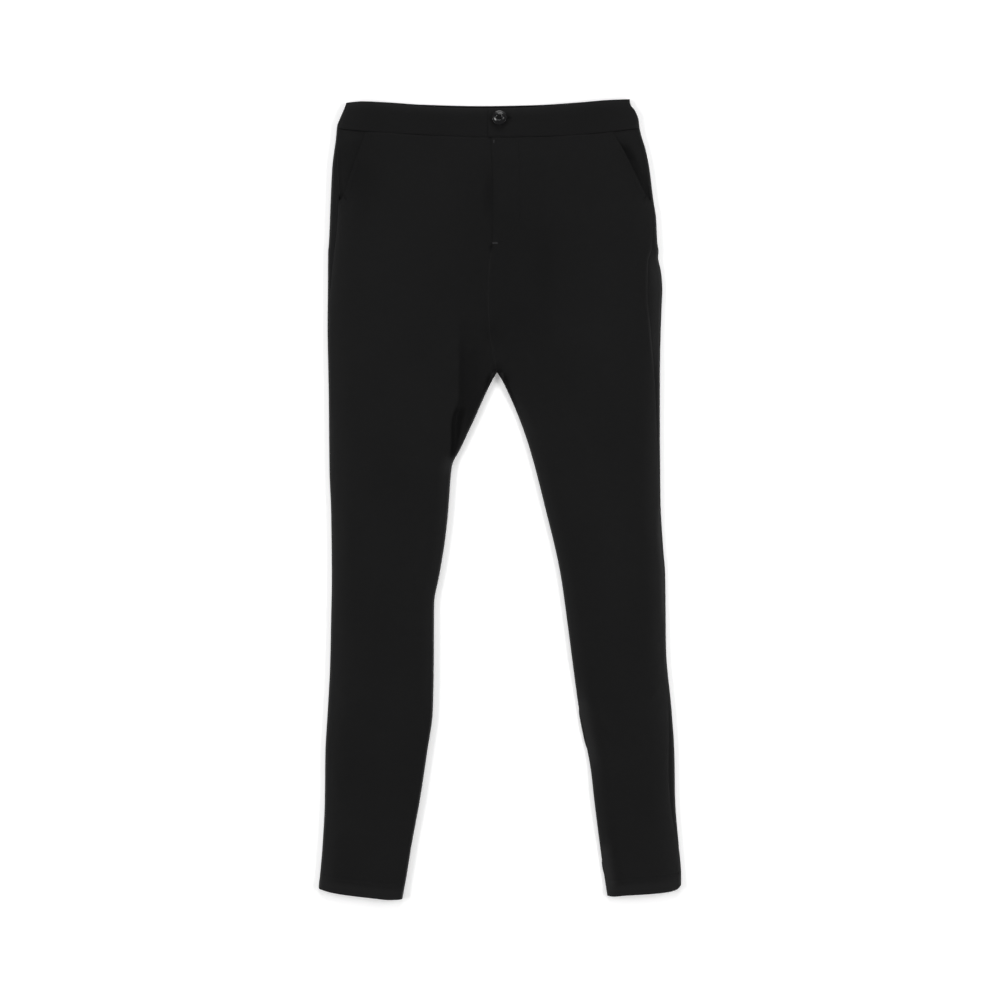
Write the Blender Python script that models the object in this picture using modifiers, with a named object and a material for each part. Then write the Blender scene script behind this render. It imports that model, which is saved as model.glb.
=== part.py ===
"""Skinny stretch trousers, laid flat on a surface with the front up.

The waist is towards +Y, the hems towards -Y, and the wearer's right leg is at -X.
The surface is Z = 0. Sizes are in millimetres, and a point becomes metres when it is placed.
"Drop" is the distance down the garment from the highest point of its waistband.
"""
import math
from collections import namedtuple

import bmesh
import bpy

# ---------------------------------------------------------------- driving sizes, mm
LENGTH = 1000.0          # top of the waistband to the lowest hem
CLOTH = 1.2              # thickness of the stretch cloth
HEM_CLOTH = 2.2          # the cloth and its turn-up
BAND_CLOTH = 2.0         # waistband: two layers and an interlining
SEAM_GAP = 0.3           # between pieces that are sewn together
LEG_HEIGHT = 5.2         # a leg lying flat: two layers round a rolled edge
BAND_HEIGHT = 5.6        # the same for the waistband
CROTCH_DROP = 341.6
HEM_TURN_UP = 20.0

FLY_UNDERLAP = 10.3      # how far the right front passes under the left one
FLY_END_DROP = 180.0     # the fly stops here and the plain front seam begins
FLY_LAP_END = (14.0, 4.0)    # the lap narrows to nothing between these distances above it
FLY_LEVEL = 12.0         # and both fronts are level again this far below it
FLY_RISE = 0.8           # the left front lies this much higher where it laps
FLY_DIP = 0.7            # and the right front this much lower
BAND_OVER_X = -14.5      # end of the upper waistband, with the buttonhole
BAND_UNDER_X = 12.0      # end of the lower waistband, which carries the button
BAND_RISE = 1.2
BAND_DIP = 1.1

MOUTH_END_DROP = 126.0   # the slanted pocket mouth reaches the side seam here
MOUTH_RISE = 0.7         # the mouth's edge lies on the facing
MOUTH_GAPE = 1.1         # and stands open by this much more at its middle
FACING_DIP = 0.8
FACING_UNDERLAP = 10.0   # how far the facing passes under the front

CREASE_HIGH = 1.2        # inner thigh of the right leg: the leg rolls over this much
CREASE_LOW = 1.2         # and the cloth beside it at the crotch sinks by this much
CREASE_REACH = 45.0      # width of the soft ridge beside the crease
CREASE_HALF = 2.5        # half the width of the step itself
CREASE_LEAST = 9.0       # and its least distance from the inner edge
BACK_SEAM_ASIDE = 4.0    # the back's centre seam lies this far beside the front's
BACK_SEAM_RETURN = (60.0, 8.0)   # and joins it between these distances above the crotch
CROTCH_TURN = (6.0, 8.5)     # from above to below the crotch, the flat seam becomes a roll

BUTTON_X = -0.9
BUTTON_DROP = 24.6
BUTTON_RADIUS = 9.0
BUTTON_SEGMENTS = 28
BUTTON_HOLES = 4
BUTTON_HOLE_RADIUS = 0.9
BUTTON_HOLE_OFFSET = 1.9
BUTTON_HOLE_LENGTH = 8.0     # the tools that cut the holes reach through the whole button
BUTTON_HOLE_MIDDLE = 0.8
BUTTON_HOLE_SEGMENTS = 10

# ---------------------------------------------------------------- tables
# The edges of the garment seen from above, down each leg. The centre line is the fly's edge
# and then the seam down to the crotch, where the two inner edges part.
Edge = namedtuple("Edge", "drop x")
RIGHT_OUTER = [
    Edge(0, -190.5), Edge(9, -193.5), Edge(24, -199.8), Edge(34, -203.6), Edge(48, -204.9),
    Edge(85, -209.6), Edge(126, -211.6), Edge(180, -213.8), Edge(192, -214.8),
    Edge(238, -215.1), Edge(281, -215.5), Edge(369, -214.0), Edge(463, -213.1),
    Edge(519, -211.0), Edge(600, -210.2), Edge(650, -211.1), Edge(707, -212.3),
    Edge(763, -215.2), Edge(819, -218.3), Edge(875, -218.9), Edge(932, -221.7),
    Edge(969, -224.9), Edge(985, -226.5), Edge(1000, -224.5),
]
RIGHT_INNER = [
    Edge(341.6, -3.75), Edge(350, -8.9), Edge(407, -35.3), Edge(444, -53.2),
    Edge(451, -57.4), Edge(460, -60.2), Edge(519, -65.0), Edge(557, -69.4),
    Edge(594, -75.6), Edge(632, -82.3), Edge(707, -82.7), Edge(763, -83.8),
    Edge(819, -91.4), Edge(875, -99.9), Edge(932, -110.4), Edge(969, -116.4),
    Edge(1000, -122.0),
]
LEFT_OUTER = [
    Edge(0, 161.9), Edge(7, 163.2), Edge(15, 169.0), Edge(26, 173.2), Edge(36, 174.4),
    Edge(48, 177.3), Edge(63, 181.9), Edge(85, 186.4), Edge(126, 191.6), Edge(148, 195.0),
    Edge(180, 196.7), Edge(190, 198.2), Edge(198, 197.5), Edge(207, 199.4),
    Edge(220, 201.8), Edge(238, 203.0), Edge(262, 201.9), Edge(341, 199.9),
    Edge(388, 199.8), Edge(500, 200.6), Edge(557, 203.6), Edge(594, 206.4),
    Edge(688, 207.6), Edge(763, 214.4), Edge(819, 218.0), Edge(875, 218.9),
    Edge(932, 223.4), Edge(969, 226.4), Edge(985, 226.4), Edge(1000, 223.5),
]
LEFT_INNER = [
    Edge(341.6, -3.75), Edge(350, 1.8), Edge(407, 27.0), Edge(444, 39.2), Edge(500, 53.8),
    Edge(594, 75.6), Edge(650, 83.6), Edge(725, 93.4), Edge(763, 98.8), Edge(838, 113.4),
    Edge(875, 117.6), Edge(950, 127.2), Edge(1000, 134.8),
]
CENTRE_LINE = [
    Edge(0, -11.0), Edge(48, -11.0), Edge(96, -9.0), Edge(180, -9.5), Edge(192, -11.5),
    Edge(238, -15.0), Edge(281, -13.8), Edge(341.6, -3.75),
]

# How far each side seam has rolled on to the front, along the cloth from the edge's middle.
Roll = namedtuple("Roll", "drop along")
RIGHT_ROLL = [
    Roll(0, 4.8), Roll(48, 5.0), Roll(85, 8.0), Roll(126, 12.0), Roll(180, 10.0),
    Roll(238, 5.0), Roll(341, 1.0), Roll(407, 0.0), Roll(632, 0.0), Roll(763, 2.0),
    Roll(875, 0.5), Roll(1000, 0.0),
]
LEFT_ROLL = [
    Roll(0, 4.8), Roll(126, 4.8), Roll(148, 5.2), Roll(180, 8.5), Roll(220, 19.0),
    Roll(238, 20.5), Roll(281, 15.5), Roll(341, 9.0), Roll(425, 5.0), Roll(538, 3.0),
    Roll(688, 3.0), Roll(763, 5.5), Roll(838, 9.5), Roll(932, 4.0), Roll(1000, 2.0),
]

# Lines across the garment, each at its own drop for a place across.
Line = namedtuple("Line", "x drop")
BACK_RIM = [
    Line(-195, 5.2), Line(-172, 2.6), Line(-140, 4.0), Line(-97, 6.9), Line(-22, 8.7),
    Line(45, 7.4), Line(95, 4.3), Line(138, 0.8), Line(165, 0.0),
]
FRONT_RIM = [
    Line(-195, 5.2), Line(-172, 3.6), Line(-140, 5.6), Line(-110, 8.6), Line(-80, 10.8),
    Line(-40, 12.0), Line(0, 12.3), Line(30, 11.4), Line(65, 8.6), Line(95, 5.6),
    Line(130, 2.2), Line(165, 0.4),
]
FRONT_BAND_SEAM = [
    Line(-205, 37.0), Line(-172, 40.6), Line(-125, 43.6), Line(-62, 47.0), Line(-10, 48.3),
    Line(50, 47.5), Line(100, 45.0), Line(138, 41.5), Line(176, 36.5),
]
BACK_BAND_SEAM = [
    Line(-205, 37.0), Line(-172, 38.5), Line(-100, 39.5), Line(0, 40.0), Line(100, 39.0),
    Line(176, 36.5),
]
RIGHT_HEM = [
    Line(-226, 986.5), Line(-211, 990.8), Line(-190, 994.2), Line(-158, 998.0),
    Line(-137, 1000.0), Line(-122, 999.3),
]
LEFT_HEM = [
    Line(134, 995.4), Line(141, 996.0), Line(155, 994.6), Line(187, 992.6),
    Line(212, 989.8), Line(221, 987.0), Line(226, 982.0),
]

# The slanted pocket mouth, as a distance in from the leg's outer edge.
Mouth = namedtuple("Mouth", "drop inset")
RIGHT_MOUTH = [
    Mouth(36, 38.0), Mouth(62, 31.5), Mouth(89, 25.0), Mouth(113, 18.5), Mouth(127, 13.6),
]
LEFT_MOUTH = [
    Mouth(36, 36.5), Mouth(62, 29.0), Mouth(89, 20.5), Mouth(113, 11.8), Mouth(127, 6.0),
]

# The crease at the right leg's inner thigh, and how much of its full step it has there.
# Further down its columns run on beside the inner edge, with no step.
Crease = namedtuple("Crease", "drop x depth")
RIGHT_CREASE = [
    Crease(48, -49.0, 0.0), Crease(262, -49.0, 0.0), Crease(306, -48.8, 0.35),
    Crease(343, -48.4, 0.7), Crease(388, -49.0, 1.0), Crease(407, -52.2, 1.0),
    Crease(425, -56.6, 1.0), Crease(444, -61.0, 0.6), Crease(456, -64.0, 0.3),
    Crease(480, -64.0, 0.0),
]

# Soft ridges (height above 0) and troughs (below 0) that lie in the fronts: the middle of
# each, its half length and half width, and how it leans from the leg's line, in degrees.
Wave = namedtuple("Wave", "x drop half_length half_width height lean")
WAVES = [
    Wave(-150, 235, 90, 26, 0.9, 14), Wave(-84, 300, 70, 24, -0.7, -18),
    Wave(70, 262, 80, 26, 0.8, -22), Wave(150, 300, 95, 24, -0.7, 8),
    Wave(-160, 470, 130, 24, 0.8, 3), Wave(-112, 560, 110, 22, -0.6, -5),
    Wave(105, 470, 120, 24, 0.8, 10), Wave(160, 560, 120, 22, -0.6, 4),
    Wave(-170, 720, 90, 22, 0.7, -6), Wave(-120, 700, 60, 20, 0.8, 12),
    Wave(130, 690, 80, 20, 0.8, 14), Wave(178, 800, 90, 20, 0.7, 4),
    Wave(-150, 880, 60, 22, -0.5, 8), Wave(192, 245, 45, 12, 1.0, 5),
]
WAVES_FROM_DROP, WAVES_FULL_DROP = 200.0, 240.0
WAVES_FADE_DROP, WAVES_END_DROP = 900.0, 960.0

# Rows of every leg panel: where its points lie down the garment. Two rows 1 mm apart carry
# the hem's step, and the rows close together carry the fly's end, the hip and the crotch.
ROW_DROPS = [
    48, 62, 76, 92, 110, 126, 129.5, 146, 166, 176, 180, 192, 199, 207, 220, 238, 262, 290,
    318, 336, 343, 350, 369, 388, 407, 425, 437, 444, 451, 458, 472, 500, 540, 585, 625, 665,
    707, 755, 805, 850, 900, 945, 979, 980, 1000,
]
FACING_DROPS = [48, 62, 76, 92, 110, 122.5]
BAND_ROWS = 4
TOP_ROW, TOP_SHIFT_END = 48.0, 110.0
HEM_SHIFT_START = 900.0

# The button's outline from the middle of its face over the rim to the middle of its underside.
Turned = namedtuple("Turned", "radius height")
BUTTON_PROFILE = [
    Turned(0.0, 1.7), Turned(3.6, 1.7), Turned(4.6, 2.0), Turned(6.2, 3.2), Turned(7.6, 3.4),
    Turned(8.6, 2.9), Turned(BUTTON_RADIUS, 1.9), Turned(8.5, 0.7), Turned(7.4, 0.0),
    Turned(0.0, 0.0),
]

# Distances in from a flat edge of the columns that carry a lap, mm.
FRONT_EDGE = (0.0, 6.0, 12.5, 18.5)
BACK_EDGE = (0.0, 6.0, 12.0, 18.0)
BAND_EDGE = (0.0, 9.0, 18.0, 29.5, 36.0)
MIDDLE_COLUMNS = 5
CREASE_COLUMNS = 2           # more of them past the crease of the right front
BACK_FLAT_COLUMNS = 3
BAND_FLAT_COLUMNS = 12
ROLL_COLUMNS = 7
EDGE_COLUMNS = 4
EDGE_SPREAD = 1.3            # a front's edge columns reach in further where the seam has rolled
SETTLE_ROUNDS = 4

BLACK_CLOTH = (0.0116, 0.0116, 0.0120, 1.0)
BLACK_BAND = (0.0126, 0.0126, 0.0130, 1.0)
BLACK_FACING = (0.0106, 0.0106, 0.0110, 1.0)
BLACK_BUTTON = (0.0090, 0.0090, 0.0095, 1.0)


# ---------------------------------------------------------------- small helpers
def smooth_step(start, end, value):
    """0 before start, 1 after end, and a soft S between them."""
    t = min(1.0, max(0.0, (value - start) / (end - start)))
    return t * t * (3.0 - 2.0 * t)


def mix(a, b, t):
    return a + (b - a) * t


def curve_of(table, key, value):
    """A smooth curve through two columns of a table, with no overshoot between rows."""
    keys = [getattr(row, key) for row in table]
    values = [getattr(row, value) for row in table]
    steps = [b - a for a, b in zip(keys, keys[1:])]
    slopes = [(b - a) / step for a, b, step in zip(values, values[1:], steps)]
    tangents = [slopes[0]]
    for before, after in zip(slopes, slopes[1:]):
        same_way = before * after > 0.0
        tangents.append(2.0 * before * after / (before + after) if same_way else 0.0)
    tangents.append(slopes[-1])

    def value_at(place):
        place = min(keys[-1], max(keys[0], place))
        i = 0
        while i < len(steps) - 1 and place > keys[i + 1]:
            i += 1
        step = steps[i]
        t = (place - keys[i]) / step
        rise = values[i + 1] - values[i]
        start_pull = tangents[i] * step - rise
        end_pull = rise - tangents[i + 1] * step
        return mix(values[i], values[i + 1], t) + t * (1 - t) * (start_pull * (1 - t) + end_pull * t)

    return value_at


class Leg:
    """One leg's outline: side is -1 for the wearer's right leg and +1 for the left."""

    def __init__(self, side, outer, inner, roll, hem, mouth):
        self.side = side
        self.outer = curve_of(outer, "drop", "x")
        self.below_crotch = curve_of(inner, "drop", "x")
        self.roll = curve_of(roll, "drop", "along")
        self.hem = curve_of(hem, "x", "drop")
        self.mouth = curve_of(mouth, "drop", "inset")

    def inner(self, drop):
        return centre_line(drop) if drop < CROTCH_DROP else self.below_crotch(drop)


centre_line = curve_of(CENTRE_LINE, "drop", "x")
RIGHT = Leg(-1, RIGHT_OUTER, RIGHT_INNER, RIGHT_ROLL, RIGHT_HEM, RIGHT_MOUTH)
LEFT = Leg(+1, LEFT_OUTER, LEFT_INNER, LEFT_ROLL, LEFT_HEM, LEFT_MOUTH)

back_rim = curve_of(BACK_RIM, "x", "drop")
front_rim = curve_of(FRONT_RIM, "x", "drop")
front_band_seam = curve_of(FRONT_BAND_SEAM, "x", "drop")
back_band_seam = curve_of(BACK_BAND_SEAM, "x", "drop")
crease_x = curve_of(RIGHT_CREASE, "drop", "x")
crease_depth = curve_of(RIGHT_CREASE, "drop", "depth")


# ---------------------------------------------------------------- shape of a section
# A point of a section: how far in from the edge it lies, how high, and the outward normal.
Skin = namedtuple("Skin", "inset height out up")


def rolled_edge(along, height):
    """A point on the rolled edge of two layers, this far along the cloth from its middle.

    The way along is positive towards the front, which is on top, and negative towards
    the back. Past the half circle the cloth runs flat.
    """
    radius = height / 2.0
    quarter = radius * math.pi / 2.0
    if abs(along) >= quarter:
        top = 1.0 if along > 0 else -1.0
        return Skin(radius + abs(along) - quarter, radius + top * radius, 0.0, top)
    angle = along / radius
    return Skin(
        radius * (1.0 - math.cos(angle)), radius * (1.0 + math.sin(angle)),
        math.cos(angle), math.sin(angle),
    )


def quarter_of(height):
    return height * math.pi / 4.0


def outer_edge_front(roll, k, height):
    """Columns of a front at its side seam, from the seam inwards."""
    quarter = quarter_of(height)
    span = quarter + EDGE_SPREAD * min(roll, quarter)
    return rolled_edge(roll + SEAM_GAP / 2.0 + span * k / (EDGE_COLUMNS - 1), height)


def outer_edge_back(roll, k, height):
    """Columns of a back at its side seam: over the front, round the edge and under."""
    quarter = quarter_of(height)
    start = roll - SEAM_GAP / 2.0
    second = min(quarter, start - (start + quarter) / (ROLL_COLUMNS - 1))
    if k == 0:
        return rolled_edge(start, height)
    return rolled_edge(mix(second, -quarter, (k - 1) / (ROLL_COLUMNS - 2)), height)


def inner_edge(turn, k, flat_steps, top, height):
    """Columns at the inner edge: a flat seam where turn is 0, a rolled edge where it is 1."""
    quarter = quarter_of(height)
    start = mix(quarter, SEAM_GAP / 2.0, turn)
    edge = rolled_edge(top * start, height)
    skin = rolled_edge(top * mix(start, quarter, k / (EDGE_COLUMNS - 1)), height)
    inset = skin.inset - edge.inset + flat_steps[k] * (1.0 - turn)
    return Skin(inset, skin.height, skin.out, skin.up)


def waves(x, drop):
    """Height of the soft ridges and troughs at a place on the fronts."""
    total = 0.0
    for wave in WAVES:
        lean = math.radians(wave.lean)
        dx, dd = x - wave.x, drop - wave.drop
        across = (dx * math.cos(lean) - dd * math.sin(lean)) / wave.half_width
        along = (dx * math.sin(lean) + dd * math.cos(lean)) / wave.half_length
        total += wave.height * math.exp(-across * across - along * along)
    fade_in = smooth_step(WAVES_FROM_DROP, WAVES_FULL_DROP, drop)
    return total * fade_in * (1.0 - smooth_step(WAVES_FADE_DROP, WAVES_END_DROP, drop))


def crease_inset(width, drop):
    """How far in from the right leg's outer edge its crease lies."""
    return width - max(CREASE_LEAST, RIGHT.inner(drop) - crease_x(drop))


def back_inner(leg, drop):
    start, end = BACK_SEAM_RETURN
    aside = 1.0 - smooth_step(CROTCH_DROP - start, CROTCH_DROP - end, drop)
    return leg.inner(drop) + BACK_SEAM_ASIDE * aside


def crotch_turn(drop):
    above, below = CROTCH_TURN
    return smooth_step(CROTCH_DROP - above, CROTCH_DROP + below, drop)


def row_shift(leg, station, x, band_seam):
    """How far a row moves down so that the top row follows the waistband and the last the hem."""
    top_share = min(1.0, max(0.0, (TOP_SHIFT_END - station) / (TOP_SHIFT_END - TOP_ROW)))
    hem_share = max(0.0, (station - HEM_SHIFT_START) / (LENGTH - HEM_SHIFT_START))
    top_move = band_seam(x) + SEAM_GAP / 2.0 - TOP_ROW
    return top_share * top_move + hem_share * (leg.hem(x) - LENGTH)


def settle(x_at, shift_at, station):
    """The drop of a point whose place across depends on its drop, and the other way round."""
    drop = station
    for _ in range(SETTLE_ROUNDS):
        drop = station + shift_at(x_at(drop))
    return drop


def point(x, drop, height):
    return (x / 1000.0, (LENGTH / 2.0 - drop) / 1000.0, height / 1000.0)


# ---------------------------------------------------------------- panels
def front_skin(leg, column, count, drop, station):
    """Place across, height and normal of one point of a front's outer skin."""
    width = abs(leg.inner(drop) - leg.outer(drop))
    at_mouth = station <= MOUTH_END_DROP
    narrowing, narrow = FLY_LAP_END
    lapped = 1.0 - smooth_step(FLY_END_DROP - narrowing, FLY_END_DROP - narrow, station)
    level = 1.0 - smooth_step(FLY_END_DROP, FLY_END_DROP + FLY_LEVEL, station)
    under = FLY_UNDERLAP * lapped - SEAM_GAP if leg is RIGHT else 0.0
    lap_lift = level * (-FLY_DIP if leg is RIGHT else FLY_RISE)

    def outer(k):
        if at_mouth:
            return Skin(leg.mouth(drop) + FRONT_EDGE[k], LEG_HEIGHT, 0.0, 1.0)
        return outer_edge_front(leg.roll(drop), k, LEG_HEIGHT)

    def inner(k):
        skin = inner_edge(crotch_turn(station), k, FRONT_EDGE, 1.0, LEG_HEIGHT)
        return Skin(width + under - skin.inset, skin.height, -skin.out, skin.up)

    lift = 0.0
    from_end = count - 1 - column
    if column < EDGE_COLUMNS:
        skin = outer(column)
        if at_mouth and column < EDGE_COLUMNS - 1:
            down = (station - TOP_ROW) / (MOUTH_END_DROP - TOP_ROW)
            lift = MOUTH_RISE + MOUTH_GAPE * math.sin(math.pi * down) ** 2
    elif from_end < EDGE_COLUMNS:
        skin = inner(from_end)
        if from_end < EDGE_COLUMNS - 1:
            lift = lap_lift
    else:
        start, end = outer(EDGE_COLUMNS - 1).inset, inner(EDGE_COLUMNS - 1).inset
        if leg is RIGHT:
            crease = crease_inset(width, drop)
            k = column - EDGE_COLUMNS
            if k < MIDDLE_COLUMNS:
                inset = mix(start, crease - CREASE_HALF, (k + 1) / MIDDLE_COLUMNS)
            else:
                inset = mix(crease + CREASE_HALF, end, (k - MIDDLE_COLUMNS) / CREASE_COLUMNS)
        else:
            inset = mix(start, end, (column - EDGE_COLUMNS + 1) / (count - 2 * EDGE_COLUMNS + 1))
        skin = Skin(inset, LEG_HEIGHT, 0.0, 1.0)
    if leg is RIGHT:
        past = skin.inset - crease_inset(width, drop)
        if past > 0.0:
            lift -= CREASE_LOW * crease_depth(drop)
        else:
            ridge = 1.0 - smooth_step(0.0, CREASE_REACH, -past)
            lift += CREASE_HIGH * crease_depth(drop) * ridge
    return skin, lift


def front_point(leg, column, count, station, depth):
    def across(drop):
        return leg.outer(drop) - leg.side * front_skin(leg, column, count, drop, station)[0].inset

    drop = settle(across, lambda x: row_shift(leg, station, x, front_band_seam), station)
    skin, lift = front_skin(leg, column, count, drop, station)
    x = leg.outer(drop) - leg.side * skin.inset
    cloth = CLOTH if station < LENGTH - HEM_TURN_UP else HEM_CLOTH
    height = skin.height + (lift + waves(x, drop)) * max(0.0, skin.up)
    return point(x - leg.side * depth * cloth * skin.out, drop, height - depth * cloth * skin.up)


def back_point(leg, column, count, station, depth):
    def skin_at(drop):
        width = abs(back_inner(leg, drop) - leg.outer(drop))
        from_end = count - 1 - column
        if column < ROLL_COLUMNS:
            return outer_edge_back(leg.roll(drop), column, LEG_HEIGHT)
        gap = SEAM_GAP if leg is RIGHT else 0.0
        if from_end < EDGE_COLUMNS:
            skin = inner_edge(crotch_turn(station), from_end, BACK_EDGE, -1.0, LEG_HEIGHT)
            return Skin(width - gap - skin.inset, skin.height, -skin.out, skin.up)
        start = outer_edge_back(leg.roll(drop), ROLL_COLUMNS - 1, LEG_HEIGHT).inset
        last = inner_edge(crotch_turn(station), EDGE_COLUMNS - 1, BACK_EDGE, -1.0, LEG_HEIGHT)
        share = (column - ROLL_COLUMNS + 1) / (count - ROLL_COLUMNS - EDGE_COLUMNS + 1)
        return Skin(mix(start, width - gap - last.inset, share), 0.0, 0.0, -1.0)

    def shift(x):
        on_top = skin_at(station).up > 0.0
        return row_shift(leg, station, x, front_band_seam if on_top else back_band_seam)

    drop = settle(lambda d: leg.outer(d) - leg.side * skin_at(d).inset, shift, station)
    skin = skin_at(drop)
    x = leg.outer(drop) - leg.side * skin.inset
    cloth = CLOTH if station < LENGTH - HEM_TURN_UP else HEM_CLOTH
    height = skin.height + waves(x, drop) * max(0.0, skin.up)
    return point(x - leg.side * depth * cloth * skin.out, drop, height - depth * cloth * skin.up)


def facing_point(leg, column, count, station, depth):
    """The pocket facing runs from the side seam to just past the mouth, under the front."""
    def across(drop):
        start = rolled_edge(leg.roll(drop) + SEAM_GAP / 2.0, LEG_HEIGHT).inset
        end = leg.mouth(drop) + FACING_UNDERLAP
        return leg.outer(drop) - leg.side * mix(start, end, column / (count - 1))

    drop = settle(across, lambda x: row_shift(leg, station, x, front_band_seam), station)
    return point(across(drop), drop, LEG_HEIGHT - FACING_DIP - depth * CLOTH)


def band_drop(rim, seam, share, x):
    return mix(rim(x), seam(x) - SEAM_GAP / 2.0, share)


def front_band_point(leg, column, count, row, depth):
    """A front waistband, from its side seam to its free end at the button."""
    share = row / (BAND_ROWS - 1)
    end_x = BAND_UNDER_X if leg is RIGHT else BAND_OVER_X
    lap_lift = -BAND_DIP if leg is RIGHT else BAND_RISE

    def skin_at(drop):
        width = abs(end_x - leg.outer(drop))
        from_end = count - 1 - column
        if column < EDGE_COLUMNS:
            return outer_edge_front(leg.roll(drop), column, BAND_HEIGHT)
        if from_end < len(BAND_EDGE):
            return Skin(width - BAND_EDGE[from_end], BAND_HEIGHT, 0.0, 1.0)
        start = outer_edge_front(leg.roll(drop), EDGE_COLUMNS - 1, BAND_HEIGHT).inset
        part = (column - EDGE_COLUMNS + 1) / (count - EDGE_COLUMNS - len(BAND_EDGE) + 1)
        return Skin(mix(start, width - BAND_EDGE[-1], part), BAND_HEIGHT, 0.0, 1.0)

    drop = TOP_ROW * share
    for _ in range(SETTLE_ROUNDS):
        x = leg.outer(drop) - leg.side * skin_at(drop).inset
        drop = band_drop(front_rim, front_band_seam, share, x)
    skin = skin_at(drop)
    x = leg.outer(drop) - leg.side * skin.inset
    lift = lap_lift if count - 1 - column < len(BAND_EDGE) - 1 else 0.0
    out = x - leg.side * depth * BAND_CLOTH * skin.out
    return point(out, drop, skin.height + lift - depth * BAND_CLOTH * skin.up)


def back_band_point(column, count, row, depth):
    """The back waistband, round both edges on to the front as far as the side seams."""
    share = row / (BAND_ROWS - 1)
    from_end = count - 1 - column
    leg = RIGHT if column < count / 2 else LEFT
    k = min(column, from_end)

    def skin_at(drop):
        if k < ROLL_COLUMNS:
            return outer_edge_back(leg.roll(drop), k, BAND_HEIGHT)
        half_width = abs(leg.outer(drop) - mix(RIGHT.outer(drop), LEFT.outer(drop), 0.5))
        start = outer_edge_back(leg.roll(drop), ROLL_COLUMNS - 1, BAND_HEIGHT).inset
        part = (k - ROLL_COLUMNS + 1) / (count / 2.0 - ROLL_COLUMNS + 0.5)
        return Skin(mix(start, half_width, part), 0.0, 0.0, -1.0)

    drop = TOP_ROW * share
    for _ in range(SETTLE_ROUNDS):
        skin = skin_at(drop)
        x = leg.outer(drop) - leg.side * skin.inset
        on_top = skin.up > 0.0
        rim, seam = (front_rim, front_band_seam) if on_top else (back_rim, back_band_seam)
        drop = band_drop(rim, seam, share, x)
    skin = skin_at(drop)
    out = leg.outer(drop) - leg.side * (skin.inset + depth * BAND_CLOTH * skin.out)
    return point(out, drop, skin.height - depth * BAND_CLOTH * skin.up)


# ---------------------------------------------------------------- building
def make_material(name, colour, roughness):
    material = bpy.data.materials.new(name)
    material.use_nodes = True
    shader = material.node_tree.nodes["Principled BSDF"]
    shader.inputs["Base Color"].default_value = colour
    shader.inputs["Roughness"].default_value = roughness
    shader.inputs["Metallic"].default_value = 0.0
    material.diffuse_color = colour
    return material


def add_object(name, bm, material, collection):
    mesh = bpy.data.meshes.new(name)
    bm.to_mesh(mesh)
    bm.free()
    mesh.materials.append(material)
    piece = bpy.data.objects.new(name, mesh)
    collection.objects.link(piece)
    return piece


def cloth_wall(name, columns, rows, place, material, collection):
    """A flat grid, extruded to a second skin; place(column, row, depth) shapes both."""
    bm = bmesh.new()
    bmesh.ops.create_grid(bm, x_segments=columns - 1, y_segments=rows - 1, size=1.0)
    cell = {}
    for vert in bm.verts:
        column = round((vert.co.x + 1.0) / 2.0 * (columns - 1))
        row = round((1.0 - vert.co.y) / 2.0 * (rows - 1))
        cell[vert.index] = (column, row)
    at = bm.verts.layers.int.new("cell")
    for vert in bm.verts:
        vert[at] = vert.index
    grown = bmesh.ops.extrude_face_region(bm, geom=bm.faces[:])
    inner_skin = {item for item in grown["geom"] if isinstance(item, bmesh.types.BMVert)}
    for vert in bm.verts:
        column, row = cell[vert[at]]
        vert.co = place(column, row, 1.0 if vert in inner_skin else 0.0)
    bm.verts.layers.int.remove(at)
    bmesh.ops.recalc_face_normals(bm, faces=bm.faces[:])
    return add_object(name, bm, material, collection)


def make_button(material, collection, cutters):
    """A dished trouser button, turned from a profile, with four sewing holes."""
    base = BAND_HEIGHT + BAND_RISE + SEAM_GAP
    mesh = bpy.data.meshes.new("button")
    points = [(turned.radius / 1000.0, 0.0, turned.height / 1000.0) for turned in BUTTON_PROFILE]
    mesh.from_pydata(points, [(i, i + 1) for i in range(len(points) - 1)], [])
    mesh.materials.append(material)
    button = bpy.data.objects.new("button", mesh)
    collection.objects.link(button)
    button.location = point(BUTTON_X, BUTTON_DROP, base)
    screw = button.modifiers.new("turn", "SCREW")
    screw.steps = BUTTON_SEGMENTS
    screw.render_steps = BUTTON_SEGMENTS
    screw.use_merge_vertices = True
    screw.merge_threshold = 0.00001
    for i in range(BUTTON_HOLES):
        angle = 2.0 * math.pi * (i + 0.5) / BUTTON_HOLES
        bm = bmesh.new()
        radius = BUTTON_HOLE_RADIUS / 1000.0
        bmesh.ops.create_cone(
            bm, cap_ends=True, segments=BUTTON_HOLE_SEGMENTS, radius1=radius, radius2=radius,
            depth=BUTTON_HOLE_LENGTH / 1000.0,
        )
        cutter = add_object(f"button_hole_{i + 1}", bm, material, cutters)
        cutter.location = point(
            BUTTON_X + BUTTON_HOLE_OFFSET * math.cos(angle),
            BUTTON_DROP + BUTTON_HOLE_OFFSET * math.sin(angle),
            base + BUTTON_HOLE_MIDDLE,
        )
        cutter.hide_render = True
        cutter.display_type = "WIRE"
        cut = button.modifiers.new(f"hole_{i + 1}", "BOOLEAN")
        cut.operation = "DIFFERENCE"
        cut.object = cutter
    return button


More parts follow.
